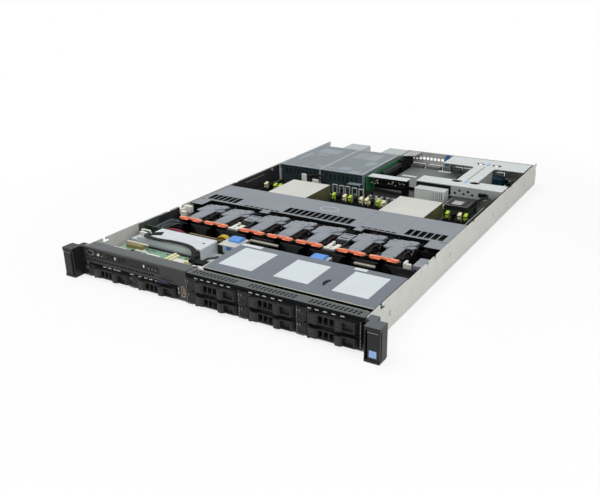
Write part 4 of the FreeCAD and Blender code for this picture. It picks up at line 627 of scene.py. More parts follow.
def carrier_details():
    """Lamps, rim lines, latch button and punched face on each carrier, and finger grooves on its handle."""
    for k in range(1, 9):
        drive, handle = "drive_%d" % k, "drive_handle_%d" % k
        box, grip = extent(drive), extent(handle)
        corner, face = (box.x0, 0, box.z0), (box.x0, box.y0, box.z0)
        height = box.z1 - box.z0
        blocks("carrier_lamps_%d" % k, "port_grey", "pale_plastic",
               *moved(face, (1.95, 2.85, -0.08, 0.2, 12.6, 15.2), (5.15, 6.05, -0.08, 0.2, 12.6, 15.2)),
               body=drive)
        rim = Maker().blocks(*moved(
            face, (1.4, 11.6, -0.35, 0.1, 1.2, 2), (1.4, 11.6, -0.35, 0.1, height - 5.6, height - 5),
            (0.8, 1.4, -0.35, 0.1, 1.2, height - 1.2)))
        rim.piece("carrier_rim_%d" % k, "fascia_plastic", "drive_metal", drive, bevel=0.12)
        blocks("carrier_button_%d" % k, "ear_plastic", "drive_metal",
               *moved(corner, (62.6, 72.8, -1.6, 0.7, 4.4, 12), (64, 66, -2.1, -1.5, 5.4, 11)), body=drive,
               bevel=0.3)
        grid = Maker().blocks(*moved(corner, *[
            (27 + 3.5 * column, 28 + 3.5 * column, 1.2, 2, 3.2 + 5.2 * row, 7.6 + 5.2 * row)
            for column in range(7) for row in range(2)
        ]))
        grid.piece("carrier_grid_%d" % k, "ear_plastic", "drive_metal", drive)
        ribs = Maker()
        for level in range(3):
            ribs.blocks(*moved(
                (box.x0, grip.y0, grip.z0 + 3 + 3.2 * level),
                (53.6, 58.4, -0.35, 0.3, 0, 1.4), (21.6, 26.4, 1.45, 2.1, 0, 1.4)))
        ribs.piece("handle_ribs_%d" % k, "fascia_plastic", "black_plastic", handle, bevel=0.2)


# Places along X of the springs in one row, and the row's height
SPRING_ROWS = (
    ((-180.2, -170.6, -161.1, -154.0, -130.2, -115.5, -105.1, -96.2, -86.1), 18.9),
    ((-19.1, -9.7, 0.7, 11.0, 21.3, 31.3), 37.2),
    ((64.0, 74.2, 83.7, 95.4, 105.8), 37.2),
    ((145.0, 154.8, 165.6, 176.2, 187.7), 37.2),
)
SPRING_OUTLINE = (
    (-0.4, 0.5), (-0.3, -0.5), (0.9, -1), (2.1, -0.8), (3.1, 0),
    (3.1, 0.25), (2.1, -0.1), (0.9, -0.2), (0.2, 0.2), (0, 0.6),
)


# Heights of the plain marks on the strips between the carriers
MARK_LEVELS = (31.4, 27.6, 24, 12.6, 9, 5.4)


def front_strips():
    """Bright shielding springs above the carriers, and marked strips on the uprights between them."""
    springs = Maker()
    for xs, z in SPRING_ROWS:
        for x in xs:
            springs.profile_x([(y, z + rise) for y, rise in SPRING_OUTLINE], x - 2.4, x + 2.4)
    springs.piece("shield_springs", "spring_steel", "galvanised_steel", bevel=0.08)
    strips, marks = Maker(), Maker()
    pitch = extent("drive_5").x0 - extent("drive_3").x0
    for column in range(4):
        x = extent("drive_3").x0 - 1.1 + pitch * column
        strips.blocks((x - 0.55, x + 0.55, -0.9, 0.58, 1.6, 36.2))
        marks.blocks(*[(x - 0.35, x + 0.35, -1, -0.88, z - 0.9, z + 0.7) for z in MARK_LEVELS])
    strips.piece("bay_strips", "strip_paint", "galvanised_steel", bevel=0.15)
    marks.piece("bay_marks", "plate_grey", "pale_plastic")


def ear_details():
    """Groove line and inner panel on both ears, the plain sticker and the dimple on the right one."""
    latch = extent("latch_right")
    y, low, high = latch.y0, latch.z0, latch.z1
    for side, name in ((1, "right"), (-1, "left")):
        a, b = sorted((side * (latch.x1 - 15.6), side * (latch.x1 - 0.9)))
        blocks("ear_line_" + name, "port_grey", "black_plastic",
               (a + 1, b - 1, y - 0.18, y + 0.2, high - 1.9, high - 1.1), body="latch_" + name)
        blocks("ear_panel_" + name, "ear_plastic", "black_plastic",
               (a + 1.4, b - 1.4, y - 0.3, y + 0.4, low + 1.6, high - 3.4), body="latch_" + name, bevel=0.25)
    blocks("ear_sticker", "touch_blue", "blue_plastic",
           (latch.x1 - 12.2, latch.x1 - 3.4, y - 0.42, y - 0.28, low + 3, low + 11.4), body="latch_right")
    dimple = Maker().rods(bar(extent("rack_ears").x1 - 0.3, -8, 27, "x", 0.28, 1, 16))
    dimple.piece("ear_dimple", "deep_black", "black_plastic")


# How far a flat decal stands proud of the sheet that it lies on
DECAL = 0.015


def cover_details():
    """Blank stickers, screws, painted label margins and bars on the perforated strip of the drive cover; a
    painted highlight along the strip's rear edge, and painted shade in the gap behind the strip and under its
    holes.
    """
    top = extent("drive_covers").z1
    blocks("cover_stickers", "label", "slate_paint",
           (-27.5, 5, 108.5, 115.5, top - 0.3, top + DECAL), (145, 162.5, 109, 115.8, top - 0.3, top + DECAL))
    rivets = Maker().rods(*[bar(x, 27.5, top - 1, "z", 1 + DECAL, 1.2, 16, 0.9) for x in (-14, 50, 132, 206)])
    rivets.piece("cover_rivets", "strip_paint", "slate_paint")
    # A black sheet on the cage roof between the strip and the cover: painted shade in the gap.
    blocks("strip_gap_shade", "deep_black", "dark_steel", (-33.5, 212, 16.2, 22.8, 37.62, 37.9))
    # A pale line along the strip's rear edge: painted highlight.
    blocks("strip_rim_highlight", "edge_light", "slate_paint", (-33, 212, 15.3, 15.75, top - 0.3, top + DECAL))
    blocks("strip_bars", "strip_paint", "slate_paint",
           *[(x - 2, x + 66, 7, 7.9, top - 1.1, top - 0.05) for x in (-26, 59, 143)])
    # A black sheet under the perforated strip: painted shade seen through its holes.
    blocks("strip_backing_shade", "deep_black", "dark_steel", (-32, 211, 2.4, 14, 38.2, 38.8))
    blocks("label_trims", "cover_paint", "slate_paint",
           (-20.05, -16.2, 41.95, 104.05, top - 0.35, top - 0.01),
           (59.95, 67.3, 42.95, 103.05, top - 0.35, top - 0.01))


# Control board and media tray

# Kinds of small board parts: finish, width, depth, height, share
CHIPS = (
    ("deep_black", 7, 7, 1.2, 0.8), ("deep_black", 5, 4, 1.1, 1.2), ("cream_plastic", 2, 1.2, 1, 2),
    ("solder", 3, 1.6, 1.4, 2.2), ("deep_black", 2.2, 1.4, 0.8, 3), ("white_plastic", 3.4, 2.2, 1.8, 0.9),
    ("gold", 2, 2, 0.5, 1),
)
SOCKET_KINDS = (
    ("deep_black", 9, 6, 5, 1.2), ("deep_black", 12, 5, 7, 0.8), ("solder", 5, 5, 6.5, 1.2),
    ("cream_plastic", 8, 4, 6, 0.7), ("deep_black", 7, 7, 3, 1.2), ("board_riser", 7, 3, 6, 0.5),
    ("white_plastic", 5, 3, 5, 0.5), ("solder", 2.6, 1.6, 1.4, 3), ("gold", 3, 2, 1.2, 1.2),
)
# Half of the least gap between two small parts
PART_GAP = 0.4


def add_scatter(name, area, z, count, seed, kinds, keep):
    """Small parts at random places on a board, in one piece for each finish."""
    random.seed(seed)
    makers = {}
    x0, x1, y0, y1 = area
    placed = []
    shares = [kind[4] for kind in kinds]
    for _ in range(count):
        finish, width, depth, height = random.choices(kinds, shares)[0][:4]
        if random.random() < 0.5:
            width, depth = depth, width
        x = random.uniform(x0 + width / 2, x1 - width / 2)
        y = random.uniform(y0 + depth / 2, y1 - depth / 2)
        a, b = x - width / 2 - PART_GAP, x + width / 2 + PART_GAP
        c, d = y - depth / 2 - PART_GAP, y + depth / 2 + PART_GAP
        if any(a < p[1] and b > p[0] and c < p[3] and d > p[2] for p in placed) or not keep(x, y):
            continue
        placed.append((a, b, c, d))
        maker = makers.setdefault(finish, Maker())
        maker.blocks((x - width / 2, x + width / 2, y - depth / 2, y + depth / 2, z, z + height))
    for finish, maker in sorted(makers.items()):
        maker.piece("%s_%s" % (name, finish), finish, "circuit_board")


# Where the control board already has parts: x0, x1, y0, y1
CONTROL_TAKEN = (
    (-176, -136, 0, 20), (-138, -80, 0, 9), (-197, -165, 57, 67), (-129, -103, 33, 40), (-93, -63, 29, 39),
    (-161, -145, 29, 45), (-79, -65, 45, 53), (-118, -96, 48, 70), (-80, -60, 53, 80), (-206, -198, 0, 60),
)


def control_free(x, y):
    """Whether a small part of the control board may stand here."""
    if x > -84 and y > 68 - (x + 84) * 0.7:
        return False
    return not any(a - 2 < x < b + 2 and c - 2 < y < d + 2 for a, b, c, d in CONTROL_TAKEN)


def control_bay():
    """What lies on the control board and in front of the media tray."""
    z = extent("drive_covers").z1 - 17.8
    add_scatter("control_parts", (-205, -62, 10, 69), z, 260, 4, CHIPS, control_free)
    blocks("control_sockets", "cream_plastic", "circuit_board",
           (-112.5, -108, 45, 68, z, z + 4), (-106, -102, 45, 66, z, z + 3.4), bevel=0.3)
    blocks("control_pale", "white_plastic", "circuit_board",
           (-100, -72, 44, 57, z, z + 2.6), (-212, -186, 47.5, 51, z, z + 1.4),
           (-174, -152, 52.5, 56, z, z + 1.8), (-150, -126, 49.5, 53, z, z + 1.8),
           (-200, -160, 65, 67.4, z + 5.4, z + 7), bevel=0.3)
    blocks("control_contacts", "contact_olive", "circuit_board",
           (-195, -167, 59, 61.5, z + 5, z + 6.2), (-195, -167, 63, 65, z + 5, z + 6))
    blocks("control_plug", "deep_black", "cable_sleeve",
           (-70.4, -61.6, 46.4, 52.4, z + 6, z + 10.5), (-60, -40, 42, 53.5, 28, 35.6), bevel=0.5)
    blocks("corner_bracket", "white_plastic", "galvanised_steel",
           (-62, -37, 22, 40, 20.6, 22.4), (-50, -40, 26, 32, 22.4, 37.6), (-46, -38, 33, 38, 22.4, 35),
           bevel=0.8, segments=3)
    blocks("tray_wing", "tray_steel", "galvanised_steel",
           (-206, -179, 80, 112, 29, 30), (-206, -179, 79, 80, 24, 30), bevel=0.2)


def ribbon_cables():
    """Black flat cables across the front of the media tray and along the left wall."""
    Maker().tube([
        (-178, 84, 39), (-172, 77, 40), (-165, 74.5, 40.6), (-148, 73.6, 40.4), (-130, 76, 40.4),
        (-117, 76.8, 40.4), (-102, 76.6, 40.3), (-88, 74, 39.6), (-77.5, 68, 37.2), (-72, 60, 32.6),
        (-66, 52.5, 31.5),
    ], 3.9, 12, 8, 0.3).piece("ribbon_cable", "cable_black", "cable_sleeve", smooth=True)
    Maker().tube([
        (-172, 84, 38.8), (-182, 90, 37.6), (-194, 99, 36), (-206, 112, 33), (-208, 130, 30), (-207, 152, 26),
    ], 3.6, 12, 8, 0.5).tube([
        (-176, 82, 32), (-188, 92, 33), (-202, 106, 30), (-209, 124, 26), (-210, 146, 20),
    ], 3, 12).tube([
        (-50, 51, 34.4), (-45, 57, 37.4), (-38, 63, 38), (-36.5, 70, 37.4),
    ], 3.2, 12, 8, 0.3).piece("side_ribbon", "cable_black", "cable_sleeve", smooth=True)
    blocks("ribbon_clips", "white_plastic", "pale_plastic",
           (-196, -180, 87, 91, 33.4, 39.4), (-203, -186, 98, 101.5, 31, 38.4), bevel=0.8, segments=3)
    wires = Maker()
    random.seed(5)
    for k in range(7):
        x = -206 + 3 * k
        wires.tube([(x, 120 + k, 30), (x + 4, 136, 33 + random.uniform(-2, 2)),
                    (x + 9, 156, 34 + random.uniform(-2, 2)), (x + 12, 172, 28)], 0.7, steps=6)
    wires.piece("side_wires", "strip_paint", "cable_sleeve", smooth=True)
    head = Maker().profile_z([(-179, 95), (-171, 86), (-158, 93), (-164, 105)], 38.1, 38.5)
    head.piece("tray_connector", "deep_black", "cable_sleeve", bevel=0.5)


def drive_wiring():
    """Loose wires and small boards between the backplanes and the fans."""
    red = Maker()
    for k in range(3):
        red.tube([(-186, 123 + k, 27), (-178, 124 + 1.4 * k, 33.4), (-163, 127 + 1.2 * k, 34.6),
                  (-150, 129 + 1.6 * k, 31), (-142, 134, 22)], 0.7, steps=6)
    red.piece("red_wires", "cable_red", "cable_sleeve", smooth=True)
    steps, turns = 10, 4
    turned = [(2 * math.pi * k / steps, k / (turns * steps)) for k in range(turns * steps + 1)]
    rings = [(-75 + 8.4 * math.cos(t), 128 + 8 * way, 34.4 + 4.8 * math.sin(t)) for t, way in turned]
    coil = Maker().tube(rings, 1.3, steps=3)
    coil.tube([(-70, 135, 32), (-66, 140, 24), (-60, 144, 14)], 1.3, steps=4)
    coil.tube([(-84, 128, 32), (-90, 134, 24), (-98, 140, 12)], 1.3, steps=4)
    coil.piece("yellow_wires", "cable_yellow", "cable_sleeve", smooth=True)
    blocks("header_board", "board_dark", "circuit_board",
           (-128, -79, 119.2, 120.8, 20, 37.8), (-78.8, -68, 121.2, 122.6, 20, 34))
    blocks("header_board_edge", "contact_olive", "circuit_board",
           (-128, -79, 119.2, 120.8, 37.8, 38.4), (-78.8, -68, 121.2, 122.6, 34, 34.6),
           (-72, -70, 121.2, 122.6, 24, 34))
    blocks("release_skirt", "tray_steel", "galvanised_steel",
           (-66, -36, 115.9, 116.6, 20.6, 37.5), (-67, -41, 116.6, 124, 36.9, 37.5), bevel=0.2)
    blocks("release_patch", "blue_plastic", "blue_plastic", (-60, -51, 115.75, 116, 26, 32))
    blocks("wall_bars", "edge_light", "dark_steel",
           (-45, 3, 151, 155.4, 29.6, 32.4), (122, 153, 152, 156.4, 28.6, 31.4), bevel=0.9, segments=3)
    loom = Maker()
    random.seed(9)
    for k in range(14):
        x = -190 + 27 * k + random.uniform(-5, 5)
        z = random.uniform(8, 24)
        loom.tube([
            (x, 126, z), (x + random.uniform(-6, 6), 134, z + 3), (x + 16, 142, z + random.uniform(-4, 6)),
            (x + 30, 145, z - 2),
        ], 1.6, steps=5)
    loom.piece("drive_loom", "cable_black", "cable_sleeve", smooth=True)


def left_wall():
    """The dark rail inside the left wall, with a painted highlight along its groove, and its stud."""
    blocks("wall_liner", "strip_paint", "dark_steel", (-216.6, -215.6, 106, 150, 8, 40.8))
    blocks("wall_pad", "dark_steel", "dark_steel",
           (-216.6, -215.6, 150, 200, 8, 40), (-216.6, -215.6, 336, 493, 9.6, 40.2))
    # The pale bar along the groove is a painted highlight; the stud beside it is a real part.
    groove = Maker().blocks((-215.6, -214.9, 381, 441, 32.6, 33.9))
    groove.rods(bar(-215.6, 467.4, 36, "x", 1.8, 2.8, 18, 2.2))
    groove.piece("wall_groove_highlight_and_stud", "port_grey", "dark_steel")


# Fans and what stands between them

WING_OUTLINE = (
    (-19, 41), (-12, 38.5), (-9, 43), (8, 49), (11, 58), (19.5, 64),
    (20.5, 75), (8, 75.5), (5, 70), (-6, 68), (-8.5, 60), (-17, 57),
)
LEAD_PATH = ((13, 30, 33), (15, 36, 37), (17.5, 43, 37.6), (18.6, 50, 34))
# The crown over the bore: half its width, its height, and how far it rises in the middle
CROWN_HALF = 10.6
CROWN_LEVEL = 38.75
CROWN_RISE = 2.25


def fan_details():
    """Crowned barrel, wing plate with screws, painted shade in the dark side pockets, and the leads on each
    fan module.
    """
    for k in range(1, 8):
        fan = "fan_%d" % k
        box = extent(fan)
        x, y = (box.x0 + box.x1) / 2, box.y0
        turns = [math.pi * step / 14 for step in range(15)]
        arch = [(x - CROWN_HALF * math.cos(t), CROWN_LEVEL + CROWN_RISE * math.sin(t) ** 0.7) for t in turns]
        crown = Maker().profile_y(arch, y + 15.5, box.y1 - 7.5)
        crown.piece("fan_crown_%d" % k, "fan_plastic", "fan_plastic", fan, smooth=True)
        wing = Maker().profile_z([(x + across, y + along) for across, along in WING_OUTLINE], 39, 41.2)
        wing.piece("fan_wing_%d" % k, "fan_plastic", "fan_plastic", fan, bevel=0.5)
        screws = Maker().rods(
            bar(x + 4, y + 59, 41, "z", 0.35, 1.1, 14), bar(x + 11.5, y + 64, 41, "z", 0.35, 1.1, 14))
        screws.piece("fan_screws_%d" % k, "deep_black", "rotor_plastic", fan)
        plug = Maker().blocks(*moved(
            (x, y, 0),
            (12, 20, 17, 26, 31, 37.4), (13, 18, 27, 34, 30, 35.6), (-20.4, -13, 22, 30, 30, 36),
            (12.4, 20, 47, 52, 35, 38.4)))
        plug.piece("fan_plug_%d" % k, "deep_black", "rotor_plastic", fan, bevel=0.5)
        lead = Maker()
        for shift in (0, 2.2):
            lead.tube([(x + across, y + along + shift, z) for across, along, z in LEAD_PATH], 0.7, steps=6)
        lead.piece("fan_lead_%d" % k, "lead_brown", "cable_sleeve", fan, smooth=True)
        # Dark blocks in the side pockets: painted shade.
        blocks("fan_ledge_%d" % k, "dark_steel", "fan_plastic",
               *moved((x, y, 0), (-20, -12.5, 9, 20, 33, 36.4), (12.5, 20, 9, 15, 33, 36)), body=fan,
               bevel=0.4)


def gap_details():
    """White clips and grey covers in the wide gaps between the fans, and the clips at the walls."""
    white, grey, dark = Maker(), Maker(), Maker()
    for middle in (-82.75, 79.15):
        place = (middle, 0, 0)
        white.blocks(*moved(
            place, (-9, 8, 163, 166.5, 36.9, 39.4), (-9, -4, 166, 186, 36.9, 38.2),
            (2, 8.4, 168, 184, 36.9, 38.6), (-4, 3, 172, 177, 36.9, 37.8)))
        white.rods(bar(middle - 6.5, 189, 30, "z", 8.8, 2.4, 18))
        grey.blocks(*moved(place, (-9.6, 9.2, 203, 227, 37, 38.6)))
        dark.blocks(*moved(
            place, (-6, 5.6, 207, 209.5, 38.3, 38.75), (-6, 5.6, 222, 224, 38.3, 38.75),
            (-7, 7, 190, 201, 36.6, 37.2)))
    white.blocks(
        (-214, -199, 207, 214, 30, 41), (-206, -197, 190, 196, 30, 38), (-213, -208, 196, 208, 30, 38.6),
        (186, 189.4, 167, 178, 28, 38.2), (189.4, 196, 169, 173, 28, 36.4),
    ).piece("cable_clips", "white_plastic", "pale_plastic", bevel=0.5)
    grey.blocks((197.6, 212, 171, 200, 30, 35.4), (-214, -188, 172, 186, 20, 24))
    grey.piece("gap_covers", "fan_plastic", "slate_plastic", bevel=0.4)
    dark.blocks(
        (-214, -190, 150, 171, 8, 22), (186, 206, 142, 160, 6, 29.6), (190, 214, 224, 251, 14, 34),
        (-214, -192, 224, 251, 14, 34),
    ).piece("gap_shadows", "deep_black", "dark_steel", bevel=0.3)


# The groups of slots in the shroud: start and count, and the pitch of the slots
SHROUD_SLOTS = ((-203, 6), (-55, 12), (148.6, 6))
SLOT_PITCH = 9.9


def shroud_details():
    """Bare oval badge rim, ribs and the row of small slots on the air shroud; painted shade inside and beside
    its slots and under its front edge, and a painted highlight along that edge.
    """
    top = extent("air_shroud").z1
    rim = Maker().flat_ring(3, 302, top - 0.2, (15, 9), 0.9, 0.5)
    rim.piece("shroud_badge_rim", "label", "slate_plastic", "air_shroud")
    dashes = Maker().blocks(*[
        (x - 0.4, x + 7.2, 252.6, 256.6, top - 0.3, top + 0.05)
        for start, count in ((-126, 7), (82, 6)) for x in (start + 9.6 * k for k in range(count))
    ])
    dashes.piece("shroud_dashes", "deep_black", "slate_plastic", "air_shroud")
    sides, frames = Maker(), Maker()
    # Black strips inside and beside each slot: painted shade, so that the slots read dark.
    for start, count in SHROUD_SLOTS:
        for k in range(count):
            sides.blocks(*moved(
                (start + SLOT_PITCH * k, 0, top), (-0.6, 0.3, 260, 279, -0.6, 0.03),
                (6.7, 7.6, 260, 279, -0.6, 0.03), (-0.6, 7.6, 255.6, 260.2, -0.6, 0.03)))
        end = start + SLOT_PITCH * (count - 1) + 7
        frames.blocks((start - 1.6, end + 1.6, 279.6, 280.4, top - 0.2, top + 0.35))
    sides.piece("slot_shade", "deep_black", "slate_plastic", "air_shroud")
    frames.blocks(*[(x - 0.4, x + 0.4, 262, 330, top - 0.2, top + 0.25) for x in (-136, 74, 140)])
    frames.piece("shroud_ribs", "shroud_plastic", "slate_plastic", "air_shroud", bevel=0.15)
    # A black sheet under the shroud's front edge: painted shade where the front wall lies in shadow.
    blocks("shroud_front_shade", "deep_black", "slate_plastic",
           (-203, 203, 239.6, 251.6, 33.6, 35), body="air_shroud")
    # A pale line along the shroud's front top edge: painted highlight.
    blocks("shroud_edge_highlight", "plate_grey", "slate_plastic",
           (-203, 203, 251.2, 251.9, 40.6, 41.3), body="air_shroud", bevel=0.1)


# Mainboard

# Open areas of the mainboard: name, area, count of tries, seed, kinds, and the area that stays bare
BOARD_AREAS = (
    ("board_parts_a", (-205, -148, 432, 488), 150, 11, SOCKET_KINDS, (-192, -148, 458, 484)),
    ("board_parts_b", (-140, 62, 434, 480), 260, 12, SOCKET_KINDS, (-38, -12, 466, 480)),
    ("board_parts_c", (70, 132, 440, 486), 110, 13, SOCKET_KINDS, (0, 0, 0, 0)),
    ("board_parts_e", (165, 206, 562, 690), 150, 15, SOCKET_KINDS, (146, 176, 634, 670)),
    ("board_parts_f", (114, 130, 556, 640), 40, 16, CHIPS, (0, 0, 0, 0)),
)


def board_details():
    """Parts on the open areas of the mainboard, and the cables along the right wall."""
    z = extent("mainboard").z0 + 1.6
    for name, area, count, seed, kinds, (a, b, c, d) in BOARD_AREAS:
        add_scatter(name, area, z, count, seed, kinds, lambda x, y: not (a < x < b and c < y < d))
    blocks("board_plate", "dark_steel", "circuit_board", (-26, 60, 484, 548, z, z + 1.6), bevel=0.2)
    caps = Maker().rods(
        *[bar(-132 + 9.4 * k, 441 + 3 * (k % 2), z, "z", 9, 3, 18) for k in range(7)],
        *[bar(-6 + 11 * k, 466, z, "z", 9, 3, 18) for k in range(5)],
    )
    caps.piece("board_capacitors", "solder", "circuit_board", bevel=0.3)
    hoops = Maker()
    for x, y in ((-71, 452), (-57, 451), (-45, 451), (-30, 449), (-16, 447)):
        hoops.profile_y([
            (x - 4.8, z), (x - 3.9, z), (x - 3.9, 29.8), (x + 3.9, 29.8), (x + 3.9, z), (x + 4.8, z),
            (x + 4.8, 31), (x - 4.8, 31),
        ], y, y + 3.2)
    hoops.piece("board_hoops", "plate_grey", "connector_metal", bevel=0.3)
    blocks("board_uprights", "white_plastic", "pale_plastic",
           (-142.6, -133, 456, 459, z, 40.6), (-121, -109, 458, 461, z, 32.6), bevel=0.5)
    leads = Maker()
    for k in range(5):
        leads.tube([(-176 + 5 * k, 470, 16), (-170 + 8 * k, 478, 27 + k), (-150 + 10 * k, 482, 30 + k),
                    (-128 + 8 * k, 480, 24)], 1.3, steps=6)
    leads.piece("board_leads", "cable_black", "cable_sleeve", smooth=True)
    Maker().tube([
        (206.5, 438, 24), (204, 452, 30), (206, 470, 33), (209.5, 492, 33), (210, 506, 31),
    ], 4.4, 14, 8, 0.6).tube([
        (180, 490, 27), (184.5, 491, 31), (191.6, 492, 33.5), (199.6, 486, 34), (205, 463, 33),
        (206, 440, 31),
    ], 3.4, 14, 8, 0.6).piece("side_cables", "cable_black", "cable_sleeve", smooth=True)
    blocks("side_rail", "port_grey", "connector_metal", (207, 208.4, 336, 431, 36.4, 38.2), bevel=0.2)
    blocks("side_rail_base", "deep_black", "circuit_board", (207.2, 213.6, 336, 431, 14, 36.4))
    lid = extent("controller_card").z1
    blocks("controller_label", "plate_grey", "connector_metal", (147, 163, 453, 472, lid - 0.2, lid + 0.25))
    # A pale line along the lid's front and left edges: painted highlight.
    blocks("controller_rim_highlight", "port_grey", "connector_metal",
           (137.4, 172.6, 446.4, 447.6, lid - 0.2, lid + 0.2),
           (137.4, 138.6, 447.6, 484, lid - 0.2, lid + 0.2), bevel=0.1)
    keys = Maker().blocks(*[
        (x - 1.3, x + 1.3, 340, 343, z + 4.7, z + 8.3)
        for start, count, pitch in ((-199, 6, 10.1), (-56.5, 12, 10.7), (152, 6, 10.1))
        for x in (start + pitch * k for k in range(count))
    ])
    keys.piece("socket_keys", "cream_plastic", "circuit_board")


# Power supplies and risers

# Blank plates on the lid of the power supply cage: x0, x1, y0, y1
LID_PLATES = (
    (-196, -150, 606, 640), (-186, -160, 588, 600), (-112, -60, 596, 642), (-146, -104, 512, 520),
    (-98, -76, 512, 534), (-70, -48, 500.5, 516), (-206, -196, 540, 600), (-66, -48, 560, 586),
)


def psu_details():
    """Blank plates on the cage lid, rim lines, and the grille and inlet pins at the rear."""
    x0, x1, y0, y1, _, top = extent("psu_cage")
    blocks("psu_plates", "psu_lid", "slate_paint",
           *[(*plate, top - 0.5, top - 0.25) for plate in LID_PLATES], bevel=0.05)
    blocks("psu_plates_dark", "psu_label", "slate_paint",
           (x0 + 10, -134, 546, 582, top - 0.5, top - 0.3), (-118, x1 - 8, 546, 582, top - 0.5, top - 0.3))
    blocks("psu_rims", "plate_grey", "slate_paint",
           (x0 + 1.6, x0 + 3.4, y0 + 13, y1 - 2, top - 0.1, top + 0.15),
           (-127.4, -125.2, y0 + 13, y1 - 2, top - 0.1, top + 0.15),
           (x1 - 4.2, x1 - 1, y0 + 13, y1 - 2, top - 0.1, top + 0.15),
           (-127.4, -125.2, 495.2, 495.95, 10, top - 0.2),
           (x0 + 2, x1 - 2, y0 + 12.4, y0 + 13.4, top - 0.1, top + 0.15), bevel=0.1)
    for k in (1, 2):
        psu = "psu_%d" % k
        box = extent(psu)
        middle = (box.z0 + box.z1) / 2
        guard = Maker()
        for radius in (8.5, 11.5, 14.5):
            guard.hoop(box.x1 - 22, middle, (radius, radius), 0.8, box.y1 - 1.6, box.y1 - 0.4)
        guard.piece("psu_guard_%d" % k, "connector_steel", "psu_steel", psu)
        pins = Maker().blocks(*moved(
            (box.x0, 0, box.z0), *[(x - 0.9, x + 0.9, 658, 668, 10.4, 14) for x in (17.6, 24, 30.4)]))
        pins.piece("inlet_pins_%d" % k, "solder", "psu_steel", psu)


def riser_details():
    """Touch points, screws and groove on the riser cage, its cards and sockets, and the blue rear lever."""
    top = extent("riser_cage").z1
    blocks("riser_touch_points", "touch_blue", "galvanised_steel",
           *[(137, 143, y - 8, y + 8, top - 0.2, top + 0.12) for y in (542, 668)], bevel=0.05)
    places = ((68, 530), (104, 522), (204, 522), (204, 690), (68, 690), (176, 536))
    screws = Maker().rods(*[bar(x, y, top - 0.2, "z", 0.45, 1.9, 18, 1.5) for x, y in places])
    screws.piece("riser_screws", "connector_steel", "galvanised_steel")
    blocks("rear_lever", "lever_blue", "blue_plastic",
           (44, 52.5, 698.4, 702, 20, 38), (46, 52, 698.4, 703, 36, 42), bevel=0.8)
    card = extent("network_card").z1
    blocks("card_stickers", "label", "dark_steel",
           (40, 66, 671.5, 680, card - 0.2, card + 0.1), (-11.5, 18, 612, 620.5, card - 0.2, card + 0.1))
    blocks("riser_card", "board_dark", "circuit_board", (144, 209, 560, 690, 8.6, 9.2))
    blocks("riser_card_strip", "plate_grey", "connector_metal", (166, 190, 684, 690, 9.2, 14), bevel=0.3)
    sink = Maker().blocks(*[(149 + 3 * k, 150.6 + 3 * k, 637, 667, 9, 24.6) for k in range(9)])
    sink.blocks((149, 174.6, 637, 667, 9, 13)).piece("card_sink", "teal_metal", "heatsink_metal", bevel=0.15)
    blocks("card_shells", "connector_steel", "connector_metal",
           (180, 204, 600, 612, 9, 15), (186, 208, 574, 590, 9, 20), bevel=0.5)
    blocks("bracket_sockets", "deep_black", "circuit_board",
           (-16, 38, 512.8, 515.2, 20, 33), (-16, 38, 518.8, 521.2, 20, 33), (-28, 40, 527, 530, 12, 31),
           bevel=0.3)
    blocks("cover_vents", "deep_black", "pale_plastic",
           *[(102.4 + 3.4 * k, 103.6 + 3.4 * k, 489.7, 490.1, 13, 31) for k in range(5)])
    blocks("riser_sockets", "deep_black", "circuit_board",
           (-31.5, -27, 548, 700, 10, 29), (-31.5, -24, 640, 700, 10, 36.5), bevel=0.4)
    clip = Maker().profile_z([(-33, 660), (-8, 672), (-8, 703.6), (-33, 703.6)], 39.6, 41)
    clip.blocks((-31, -9, 696, 703.6, 30, 39.6))
    clip.piece("riser_clip", "plate_grey", "galvanised_steel", bevel=0.3)
    blocks("riser_groove", "groove_olive", "galvanised_steel", (137.6, 140.2, 556, 652, top - 0.2, top + 0.1))
    blocks("riser_shadows", "deep_black", "dark_steel",
           (61, 124, 511.4, 512.05, 24.5, 39.6), (172.6, 190, 511.6, 512.05, 27.2, 32.8))
    bits = Maker()
    random.seed(31)
    for _ in range(16):
        x, z = random.uniform(-26, 40), random.uniform(25, 33)
        bits.blocks((x, x + random.uniform(1, 3.6), 505, 506.1, z, z + random.uniform(0.8, 2.4)))
    bits.piece("bracket_bits", "edge_light", "connector_metal", bevel=0.15)


def rear_details():
    """Contacts and tongues inside the rear connectors."""
    contacts = Maker().blocks(*[(x - 4.6, x + 4.6, 693.2, 699, 16.4, 17) for x in (71.7, 89.1, 106.5, 123.9)])
    contacts.blocks((150, 159.4, 693.2, 699, 16.4, 17)).piece("port_contacts", "gold", "connector_metal")
    blocks("rear_usb_tongues", "blue_plastic", "connector_metal",
           *[(46.6, 55.8, 693.4, 703, z, z + 0.9) for z in (11.9, 17.3)])


panel_details()
carrier_details()
front_strips()
ear_details()
cover_details()
control_bay()
ribbon_cables()
drive_wiring()
left_wall()
fan_details()
gap_details()
shroud_details()
board_details()
psu_details()
riser_details()
rear_details()


# Stage

# Half the floor's side and its level, in metres
FLOOR_HALF = 60.0
FLOOR_LEVEL = -0.0005
# How far from the middle the floor's shadow fades out, in metres, and how white the floor is by itself
SHADOW_REACH = (0.42, 0.72)
FLOOR_GLOW = 0.8
WORLD_LEVEL = 0.36
WHITE = (1, 1, 1, 1)


def seen_directly(nodes, link):
    """One for rays from the camera, mirror rays and rays through glass, and nought for all others."""
    path = add_node(nodes, "LightPath")
    total = path.outputs["Is Camera Ray"]
    for kind in ("Is Glossy Ray", "Is Transmission Ray"):
        either = add_node(nodes, "Math", operation="ADD", use_clamp=True)
        link(total, either.inputs[0])
        link(path.outputs[kind], either.inputs[1])
        total = either.outputs["Value"]
    return total


